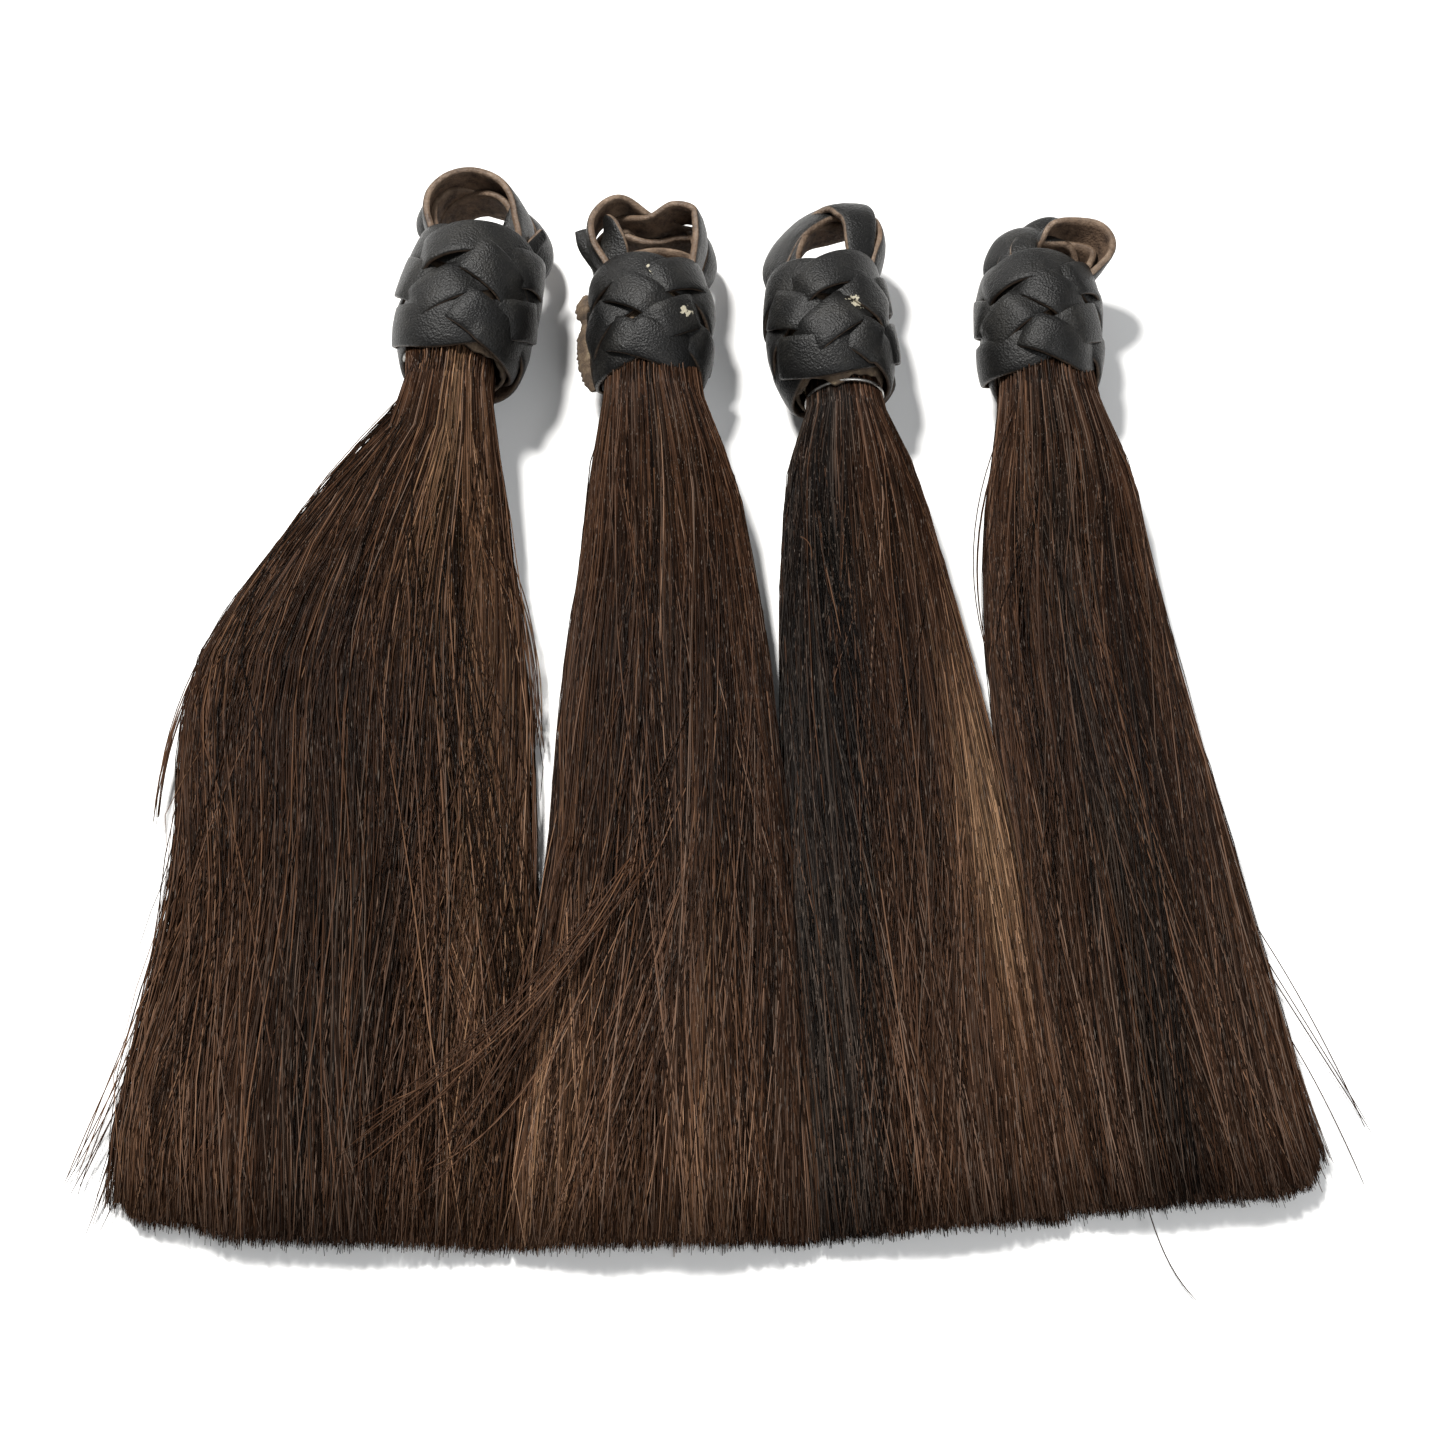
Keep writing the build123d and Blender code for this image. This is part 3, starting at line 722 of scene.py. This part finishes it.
def make_flap(head, lining):
    low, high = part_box(head.name + "_lining_flap")
    middle = (low + high) / 2 - head.centre
    x = middle.x / MM
    up = middle.z / MM
    top = (high.y - head.centre.y) / MM - head.length / 2 / MM
    long = (high.y - low.y) / MM
    rows = [(x + 1.6, up + 2.6, top + 0.4, 1.0, -0.6, 0.8, 0),
            (x + 0.4, up + 2.2, top - 1.6, 2.1, -0.6, 0.8, 0),
            (x + 0.2, up + 1.8, top - 4.0, 2.0, -0.7, 0.7, 0),
            (x + 1.0, up + 1.2, top - 6.4, 1.3, -0.8, 0.6, 0),
            (x + 0.5, up + 0.8, top - 0.45 * long, 2.5, -0.8, 0.6, 0),
            (x + 1.0, up + 0.2, top - 0.7 * long, 2.7, -0.8, 0.6, 0),
            (x + 2.4, up - 0.8, top - 0.9 * long, 2.0, -0.7, 0.7, 0),
            (x + 3.4, up - 1.6, top - long, 0.7, -0.7, 0.7, 0)]
    name = head.name + "_torn_lining"
    spot = np.arange(FLAP_STATIONS)
    strip = smooth_rows(rows, FLAP_STATIONS)
    strip[:, 3] *= 1 + 0.12 * np.sin(0.83 * spot) * np.sin(0.31 * spot + 1)
    mesh = strap_mesh(head, name, strip, FLAP_THICK, FLAP_ROUGHNESS)
    add_rigid(name, mesh, lining, head, "_lining_flap")


# ---- hair

HAIRS = 7600
HAIR_POINTS = 16
HAIR_SIDES = 3
HAIR_RADIUS = 0.125 * MM
HAIR_SEED = 20
# The hair under the loose ones is dark: painted shade inside the hair
UNDER_WARMTH_PAINTED_SHADE = 0.2
UNDER_TONE_PAINTED_SHADE = 0.4
STRAND_STRIP = (0.0, 0.92)
UNDER_STRIP = (0.93, 1.0)
LOCKS = 60
TUFTS = 620
# Share of its full thickness at each point of a hair
TIP_TAPER = np.array([1.0] * (HAIR_POINTS - 2) + [0.85, 0.5])
# How far the hairs of a lock or tuft draw in to its middle, from the least to the most
LOCK_PULL = (0.1, 0.6)
TUFT_PULL = (0.2, 0.8)
HAIR_WAVES = ((1.6, 0.006), (4.1, 0.002))  # waves along a hair, share of the skirt's width
WILD_TURN = 0.4  # spread of how far hairs turn to one side, in skirt widths
TUFT_TURN = 0.09
LOOSE_TURN = 0.55
HAIR_TURN = 0.05
HAIR_RISE = (0.08, 0.04, 0.02)  # spread of heights by lock, tuft and hair, in skirt heights
TONE_MIDDLE = -0.37  # of the natural log of a hair's tone
# Parts of the tufts or hairs that are set apart from the rest
WILD_TUFTS = 0.38  # turn away from their lock
LOOSE_HAIRS = 0.13  # cross the others, near the top
LIGHT_HAIRS = 0.15
BROWN_HAIRS = 0.16  # keep a brown of their own in any patch
EDGE_HAIRS = 0.15  # may stand out past the skirt's edge
HELD_HAIRS = 0.85  # follow the waist of the skirt
SHORT_HAIRS = 0.2  # end up to 40 mm early
SHORTEST_HAIRS = 0.05  # end 30 to 105 mm early
# Warmth of the hair: base, then patches (share across, share along, both reaches, change)
WARMTH = {
    "tassel1": (0.53, [
        (0.5, 0.8, 0.17, 0.45, -0.22), (0, 0.5, 0.07, 2, 0.12), (0.92, 0.5, 0.15, 0.5, 0.22),
        (0.71, 0, 0.1, 0.28, 0.46), (0.4, 0.15, 0.5, 0.2, 0.05), (0.2, 1, 0.3, 0.15, 0.04)]),
    "tassel2": (0.49, [
        (0.1, 0.92, 0.2, 0.25, 0.2), (0.62, 0.95, 0.25, 0.2, 0.16), (0.95, 0.75, 0.14, 0.3, -0.16)]),
    "tassel3": (0.49, [
        (0.92, 0.57, 0.15, 0.23, 0.55), (0.9, 0.95, 0.2, 0.15, -0.04),
        (0.85, 0.15, 0.3, 0.2, -0.06)]),
    "tassel4": (0.44, [
        (0.45, 0.5, 0.1, 2, -0.24), (1, 0.35, 0.07, 0.35, 0.22), (0.8, 0.95, 0.15, 0.2, 0.04),
        (0.5, 0.85, 0.6, 0.25, -0.05)]),
}
# How far across the black hair reaches, at the knot and at the tips
BLACK_SHARE = {"tassel3": (0.6, 0.3)}
WAIST = {"tassel1": 0.075}
NECK_PINCH = {"tassel1": 0.28}
# Cut ends that stop short: share across, mm
TRIM = {"tassel1": [(0, 7.5), (0.05, 4.2), (0.12, 3.2), (0.2, 2.6), (0.26, 0.4), (1, 0)],
        "tassel4": [(0, 0), (0.84, 0), (0.95, 2.5), (1, 7)]}


class Skirt:
    """Outline of one tassel's hair, cut from the frame's own hanks."""

    CUTS = 44
    SAMPLES = 19

    def __init__(self, head):
        self.head = head
        prefix = head.name + "_hair_hank_"
        self.hanks = [name for name in NODES if name.startswith(prefix)]
        boxes = [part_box(name) for name in self.hanks]
        self.tips = [low.y for low, high in boxes]
        top = min(high.y for low, high in boxes)
        self.y = np.linspace(top - 0.05 * MM, max(self.tips) + 0.3 * MM, self.CUTS)
        triangles = np.concatenate([self.triangles(name) for name in self.hanks])
        cuts = [self.cut(triangles, y) for y in self.y]
        self.left, self.right, self.low, self.high = (np.array(part) for part in zip(*cuts))
        self.neck_y = self.y[0]

    @staticmethod
    def triangles(name):
        mesh = frame["nodes"][name].data
        mesh.calc_loop_triangles()
        points = np.array([v.co for v in mesh.vertices])
        corners = np.array([t.vertices for t in mesh.loop_triangles])
        return points[corners]

    def cut(self, triangles, y):
        """Left and right edge of the skirt at y, and its low and high line across."""
        after = np.roll(triangles, -1, axis=1)
        crossing = (triangles[..., 1] - y) * (after[..., 1] - y) < 0
        crossing = crossing & (crossing.sum(axis=1, keepdims=True) == 2)
        a, b = triangles[crossing], after[crossing]
        points = a + (b - a) * (y - a[:, 1:2]) / (b[:, 1:2] - a[:, 1:2])
        ends = points[:, [0, 2]].reshape(-1, 2, 2)
        left, right = ends[..., 0].min(), ends[..., 0].max()
        xs = left + (right - left) * np.linspace(0.004, 0.996, self.SAMPLES)
        side = ends[:, :, 0] - xs[:, None, None]
        over = (side.min(axis=2) <= 0) & (side.max(axis=2) > 0)
        a, b = ends[:, 0], ends[:, 1]
        z = a[:, 1] + (b[:, 1] - a[:, 1]) * (xs[:, None] - a[:, 0]) / (b[:, 0] - a[:, 0] + 1e-12)
        low = np.where(over, z, np.inf).min(axis=1)
        high = np.where(over, z, -np.inf).max(axis=1)
        known = high - low > 0.5 * MM
        low = np.interp(xs, xs[known], low[known])
        high = np.interp(xs, xs[known], high[known])
        return left, right, low, high

    def tip(self, share):
        """Row y of the cut ends at a share across the skirt."""
        count = len(self.tips)
        middles = (np.arange(count) + 0.5) / count
        trim = np.array(TRIM.get(self.head.name, [(0, 0), (1, 0)]))
        short = np.interp(share, trim[:, 0], trim[:, 1]) * MM
        return np.interp(share, middles, self.tips) + short

    def point(self, share, depth, y):
        """Row point at a share across, a share up through the hair, and a row y."""
        inside = np.clip(y, self.y[-1], self.y[0])
        row = np.interp(-inside, -self.y, np.arange(len(self.y)))
        left = np.interp(-inside, -self.y, self.left)
        right = np.interp(-inside, -self.y, self.right)
        column = np.clip(share, 0, 1) * (self.SAMPLES - 1)
        low = self.look_up(self.low, row, column)
        high = self.look_up(self.high, row, column)
        beyond = y - inside
        slope = self.head.down.x / self.head.down.y
        x = left + (right - left) * share + np.maximum(beyond, 0) * slope
        long = self.y[-1] - self.y[-6]
        left_slope = (self.left[-1] - self.left[-6]) / long
        right_slope = (self.right[-1] - self.right[-6]) / long
        spread = left_slope + (right_slope - left_slope) * share
        x = x + np.minimum(beyond, 0) * spread
        return np.stack([x, y, low + (high - low) * depth], axis=-1)

    @staticmethod
    def look_up(table, row, column):
        r = np.clip(row.astype(int), 0, table.shape[0] - 2)
        c = np.clip(column.astype(int), 0, table.shape[1] - 2)
        fr, fc = row - r, column - c
        top = table[r, c] * (1 - fc) + table[r, c + 1] * fc
        bottom = table[r + 1, c] * (1 - fc) + table[r + 1, c + 1] * fc
        return top * (1 - fr) + bottom * fr


def warmth_at(name, share, along):
    base, patches = WARMTH[name]
    total = np.full(np.broadcast(share, along).shape, base)
    for across, down, wide, long, change in patches:
        total = total + change * np.exp(-(((share - across) / wide) ** 2)
                                        - ((along - down) / long) ** 2)
    if name in BLACK_SHARE:
        first, last = BLACK_SHARE[name]
        limit = first + (last - first) * np.sqrt(np.clip(along, 0, 1))
        total = total - 0.45 * smooth_step((limit - share) / 0.05 + 0.5)
    return total


class Hairs:
    """Every hair of one skirt; values holds the points, thickness, warmth and tone.

    The draws are columns, and their order is fixed."""

    def __init__(self, skirt, rng):
        self.skirt = skirt
        self.name = skirt.head.name
        self.rng = rng
        self.along = np.linspace(0, 1, HAIR_POINTS) ** 1.1
        self.ease = smooth_step(self.along)
        self.share = self.evenly(0, 1)
        self.depth = 1 - self.evenly(0, 1) ** 1.5
        self.lock, self.lock_share = self.bunches(LOCKS)
        self.tuft, self.tuft_share = self.bunches(TUFTS)
        path = self.keep_inside(self.wave(self.turn(self.gather())))
        level = self.levels()
        points = self.lay(path, level)
        warm = self.warmth(path)
        tone = self.tone_and_painted_shade(level)
        thick = HAIR_RADIUS * self.evenly(0.7, 1.25) * np.where(self.light | self.wild, 1.15, 1)
        self.values = points, thick * TIP_TAPER, warm, tone

    def evenly(self, low, high):
        return self.rng.uniform(low, high, (HAIRS, 1))

    def chosen(self, part):
        return self.evenly(0, 1) < part

    def by_hair(self, spread, middle=0.0):
        return self.rng.normal(middle, spread, (HAIRS, 1))

    def by_lock(self, spread):
        return self.rng.normal(0, spread, (LOCKS, 1))[self.lock]

    def by_tuft(self, spread):
        return self.rng.normal(0, spread, (TUFTS, 1))[self.tuft]

    def bunches(self, count):
        """Sorts the hairs about random middles: each hair's bunch, and its middle's share."""
        middles = self.rng.uniform(0, 1, count)
        depths = self.rng.uniform(0, 1, count)
        gap = (self.share - middles) ** 2 + (0.15 * (self.depth - depths)) ** 2
        nearest = gap.argmin(axis=1)
        return nearest, middles[nearest, None]

    def gather(self):
        """Shares across, with each lock and tuft drawn in to its middle towards the tips."""
        lock_pull = self.rng.uniform(*LOCK_PULL, (LOCKS, 1))[self.lock]
        tuft_pull = self.rng.uniform(*TUFT_PULL, (TUFTS, 1))[self.tuft]
        drift = (self.lock_share - self.share) * lock_pull
        drift = drift + (self.tuft_share - self.share) * tuft_pull
        drift = drift + self.by_lock(0.05) + self.by_hair(0.006)
        return self.share + drift * self.ease

    def turn(self, path):
        """Turns the hairs to one side from some point on, the wild and loose ones most."""
        self.wild = (self.rng.uniform(0, 1, (TUFTS, 1)) < WILD_TUFTS)[self.tuft]
        self.loose = self.chosen(LOOSE_HAIRS)
        self.depth = np.where(self.loose, 1 - 0.4 * (1 - self.depth), self.depth)
        turn = np.where(self.wild, self.by_tuft(WILD_TURN), self.by_tuft(TUFT_TURN))
        turn = turn + np.where(self.loose, self.by_hair(LOOSE_TURN), self.by_hair(HAIR_TURN))
        leave = self.rng.uniform(-0.1, 0.7, (TUFTS, 1))[self.tuft] + self.by_hair(0.05)
        early = (self.by_tuft(0.035) + self.by_hair(0.025)) * np.where(self.loose, 3.5, 1)
        path = path + early * smooth_step((self.along - 0.04) / 0.34)
        return path + turn * soft_ramp(self.along - leave)

    def wave(self, path):
        for waves, size in HAIR_WAVES:
            phase = self.evenly(0, 2 * math.pi)
            rate = waves * self.evenly(0.7, 1.3)
            path = path + size * self.ease * np.sin(2 * math.pi * rate * self.along + phase)
        return path

    def keep_inside(self, path):
        """Folds the hairs back into the skirt, and makes them follow its waist and neck."""
        slack = np.where(self.chosen(EDGE_HAIRS), -0.045, self.evenly(-0.015, 0.03))
        path = fold_edges(path, slack * self.ease)
        held = self.chosen(HELD_HAIRS)
        path = path + held * waist(self.name, path, self.along)
        return path + neck_pinch(self.name, path, self.along)

    def levels(self):
        """Shares up through the skirt; wild and loose hairs lift off its top."""
        by_lock, by_tuft, by_hair = HAIR_RISE
        rise = self.by_lock(by_lock) + self.by_tuft(by_tuft) + 0.06 * self.wild
        rise = rise + 0.05 * self.loose + self.by_hair(by_hair)
        return np.clip(self.depth + rise * self.ease, 0.02, 1.10)

    def lay(self, path, level):
        """Row points from inside the knot to each hair's own cut or broken end."""
        early = self.evenly(0, 1)
        ragged = np.where(early < SHORT_HAIRS, self.evenly(1, 40), self.by_hair(0.9)) * MM
        ragged = np.where(early < SHORTEST_HAIRS, self.evenly(30, 105) * MM, ragged)
        start = self.skirt.neck_y + 8 * MM
        end = self.skirt.tip(np.clip(path[:, -1:], 0, 1)) + ragged
        y = start + (end - start) * self.along
        points = swell_neck(self.skirt, self.skirt.point(path, level, y))
        points[..., 2] = np.maximum(points[..., 2], HAIR_RADIUS)
        return points

    def warmth(self, path):
        warm = warmth_at(self.name, path + self.by_hair(0.035), self.along)
        warm = warm + (self.by_hair(0.09) + self.by_tuft(0.07))
        brown = self.chosen(BROWN_HAIRS)
        warm = np.where(brown, np.maximum(warm, self.evenly(0.3, 0.7)), warm)
        self.light = self.chosen(LIGHT_HAIRS)
        return np.clip(warm - 0.1 * self.light, 0, 0.92)

    def tone_and_painted_shade(self, level):
        """Tone of each hair, at random, with painted shade that darkens it deeper inside the skirt.
        """
        tone = np.exp(self.by_hair(0.74, TONE_MIDDLE) + self.by_tuft(0.36))
        tone = np.clip(tone, 0.10, 2.0) * np.where(self.light, 1.9, 1)
        # Painted shade by depth in the skirt, and painted light and shade along the hair
        return tone * (0.45 + 0.55 * np.clip(level, 0, 1) ** 2) * painted_light_along(self.along)


def waist(name, path, along):
    """How far the hair keeps in from its left edge above the flared ends."""
    near = np.exp(-np.clip(path, 0, 1) / 0.14)
    return WAIST.get(name, 0.0) * near * bell(along, 0.72, 0.15)


def neck_pinch(name, path, along):
    """How far the hair keeps in from its left edge just below the knot."""
    near = (1 - np.clip(path, 0, 1)) ** 2
    return NECK_PINCH.get(name, 0.0) * near * bell(along, 0.09, 0.07)


def painted_light_along(along):
    """Painted light and shade along the hair: painted shade a little above its middle, where the hair
    faces the key light, and painted light towards the cut ends, where it turns away.
    """
    dark = 1 - 0.26 * bell(along, 0.42, 0.22)
    return dark + 0.18 * smooth_step((along - 0.6) / 0.3) + 0.5 * smooth_step((along - 0.92) / 0.08)


# How far the hair swells over its whipping, inside the knot's rim
NECK_SWELL = {"tassel1": 0.22, "tassel2": 0.22, "tassel3": 0.0, "tassel4": 0.24}


def swell_neck(skirt, points):
    """Widens the hair near the knot, about the neck's middle."""
    head = skirt.head
    y = points[..., 1]
    share = bell(y, skirt.neck_y + 3 * MM, 8 * MM) * NECK_SWELL[head.name]
    middle_x = head.neck.x + (y - head.neck.y) * head.down.x / head.down.y
    middle_z = (skirt.low[0].min() + skirt.high[0].max()) / 2
    out = points.copy()
    out[..., 0] += (points[..., 0] - middle_x) * share
    out[..., 2] += (points[..., 2] - middle_z) * share
    return out


def soft_ramp(value):
    return 0.5 * (value + np.sqrt(value**2 + 0.006))


def fold_edges(path, slack):
    """Folds shares across that leave the skirt back inside, by half as much."""
    path = np.where(path < slack, slack + (slack - path) * 0.5, path)
    top = 1 - slack
    return np.where(path > top, top - (path - top) * 0.5, path)


# Hairs that have left the skirts: start, middle and end in mm, how many, and their spread
STRAYS = {
    "tassel1": [
        ((-116, -55, 6), (-128, -86, 5), (-139.5, -117, 1.5), 9, 5),
        ((-112, -60, 7), (-125, -95, 4), (-133, -124, 1.5), 9, 5),
        ((-97, 40, 11), (-124, 6, 7.5), (-129, -34, 4), 9, 1.4),
        ((-51, 30, 9), (-44.5, 10, 6), (-43, -16, 4), 8, 2),
    ],
    "tassel2": [
        ((-20, -50, 15.5), (-44, -82, 13.5), (-78, -110, 10.5), 12, 8),
        ((-28, -62, 14.5), (-44, -92, 12.5), (-60, -119, 9.5), 12, 9),
        ((-34, -40, 11), (-43, -80, 9), (-52, -122, 4), 8, 4),
    ],
    "tassel3": [((18.2, 30.5, 20.4), (20.6, 28, 21.6), (20.6, 24.2, 20.2), 1, 0.1)],
    "tassel4": [
        ((110, -45, 6), (124, -75, 4), (141, -103, 1.5), 3, 4),
        ((114, -70, 4), (124, -92, 3), (133, -116, 1.5), 4, 6),
        ((88, -100, 6), (92, -128, 2), (100, -142, 0.8), 1, 0.5),
        ((73, 71, 24), (58.5, 38, 14), (63, 5, 4), 3, 1.2),
    ],
}


def stray_paths(name, rng):
    """The same values for the hairs that have left the skirt."""
    along = np.linspace(0, 1, HAIR_POINTS)[None, :, None]
    groups = []
    for start, middle, end, count, spread in STRAYS.get(name, []):
        noise = rng.normal(0, 1, (count, 3, 3)) * np.array([1, 1, 0.12]) * spread * 0.5
        noise[:, 0] *= 0.5
        spots = (np.array([start, middle, end])[None] + noise) * MM
        a, b, c = (spots[:, k][:, None] for k in range(3))
        curve = a * (1 - along) ** 2 + 2 * b * along * (1 - along) + c * along**2
        groups.append(curve + (b - (a + c) / 2) * along * (1 - along))
    points = np.concatenate(groups)
    points[..., 2] = np.maximum(points[..., 2], HAIR_RADIUS)
    count = len(points)
    thick = 1.2 * HAIR_RADIUS * TIP_TAPER * np.ones((count, 1))
    warm = rng.normal(WARMTH[name][0] + 0.08, 0.1, count)[:, None] * np.ones(HAIR_POINTS)
    tone = rng.uniform(0.6, 1.5, count)[:, None] * np.ones(HAIR_POINTS)
    return points, thick, warm, tone


def tube_rings(points, thick):
    ahead = unit(np.gradient(points, axis=1))
    side = unit(np.cross(ahead, np.array([0.0, 0.0, 1.0])))
    up = np.cross(side, ahead)
    angle = 2 * math.pi * (np.arange(HAIR_SIDES) + 0.25) / HAIR_SIDES
    ring = side[:, :, None] * np.cos(angle)[:, None] + up[:, :, None] * np.sin(angle)[:, None]
    return points[:, :, None] + ring * thick[:, :, None, None]


def under_hair(skirt, first, last):
    """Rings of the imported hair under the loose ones, between two shares across."""
    across = np.linspace(first, last, 15)
    rows = 30
    start, end = skirt.neck_y + 7 * MM, skirt.tip((first + last) / 2) + 9 * MM
    y = np.linspace(start, end, rows)[:, None]
    thin = 1 - smooth_step((np.linspace(0, 1, rows)[:, None] - 0.86) / 0.14) * 0.75
    groove = 0.035 * np.sin(across * 97) + 0.02 * np.sin(across * 223 + 1)
    along = np.linspace(0.06, 0.94, rows)[:, None]
    across = across + waist(skirt.head.name, across, along)
    across = across + neck_pinch(skirt.head.name, across, along)
    top = skirt.point(across, (0.80 + groove) * thin, y + 0 * across)
    bottom = skirt.point(across, 0.12 + 0 * across, y + 0 * across)
    return np.concatenate([top, bottom[:, ::-1]], axis=1)[None]


def joined(meshes, name):
    """One mesh from several that share the same attributes and map."""
    parts = [add_object(f"{name}_{i}", mesh) for i, mesh in enumerate(meshes)]
    bpy.ops.object.select_all(action="DESELECT")
    for part in parts:
        part.select_set(True)
    bpy.context.view_layer.objects.active = parts[0]
    bpy.ops.object.join()
    parts[0].name = name
    parts[0].data.name = name
    return parts[0]


def hair_mesh(name, rings, warm, tone, strip):
    mesh = mesh_from_grid(name, rings, strip=strip)
    sides = rings.shape[2]
    add_value(mesh, "warmth", np.repeat(warm.reshape(-1), sides))
    add_value(mesh, "tone", np.repeat(tone.reshape(-1), sides))
    return mesh


def make_hair(head, hair):
    skirt = Skirt(head)
    rng = np.random.default_rng(HAIR_SEED + TASSELS.index(head.name))
    hairs = Hairs(skirt, rng)
    strays = stray_paths(head.name, rng)
    points, thick, warm, tone = (np.concatenate(pair) for pair in zip(hairs.values, strays))
    side = np.where(strays[0][:, 0, 0] < (skirt.left[0] + skirt.right[0]) / 2, 0.0, 0.999)
    share = np.concatenate([hairs.share[:, 0], side])
    count = len(skirt.hanks)
    owner = np.minimum((share * count).astype(int), count - 1)
    for number, node in enumerate(skirt.hanks):
        mine = owner == number
        name = f"{head.name}_hair_{number + 1}"
        rings = tube_rings(points[mine], thick[mine])
        strands = hair_mesh(name + "_loose", rings, warm[mine], tone[mine], STRAND_STRIP)
        packed = under_hair(skirt, max(number / count, 0.02), min((number + 1) / count, 0.98))
        flat = np.ones(packed.shape[:2])
        # Painted shade: the hair under the loose ones gets a dark warmth and tone
        under = hair_mesh(name + "_under", packed, UNDER_WARMTH_PAINTED_SHADE * flat, UNDER_TONE_PAINTED_SHADE * flat,
                          UNDER_STRIP)
        piece = joined([strands, under], name)
        piece.data.materials.append(hair)
        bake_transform(piece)
        replaced = [node] + ([head.name + "_hair_root"] if number == 0 else [])
        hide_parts(*replaced)


# ---- the scene

make_camera()
make_lights()
make_floor()
leather = leather_material()
lining = lining_material()
hair = hair_material()
for tassel in TASSELS:
    head = Head(tassel)
    make_knot(head, leather)
    make_lining(head, lining, tassel == "tassel3")
    make_loop(head, leather)
    if tassel + "_lining_flap" in NODES:
        make_flap(head, lining)
    make_hair(head, hair)
# The frame's own pieces that are kept get materials only
kept = {"head_core": wood_material(), "binding_cord": cord_material(), "neck_ring": wire_material()}
for name, node in frame["nodes"].items():
    for ending, material in kept.items():
        if name.endswith(ending):
            node.data.materials.clear()
            node.data.materials.append(material)
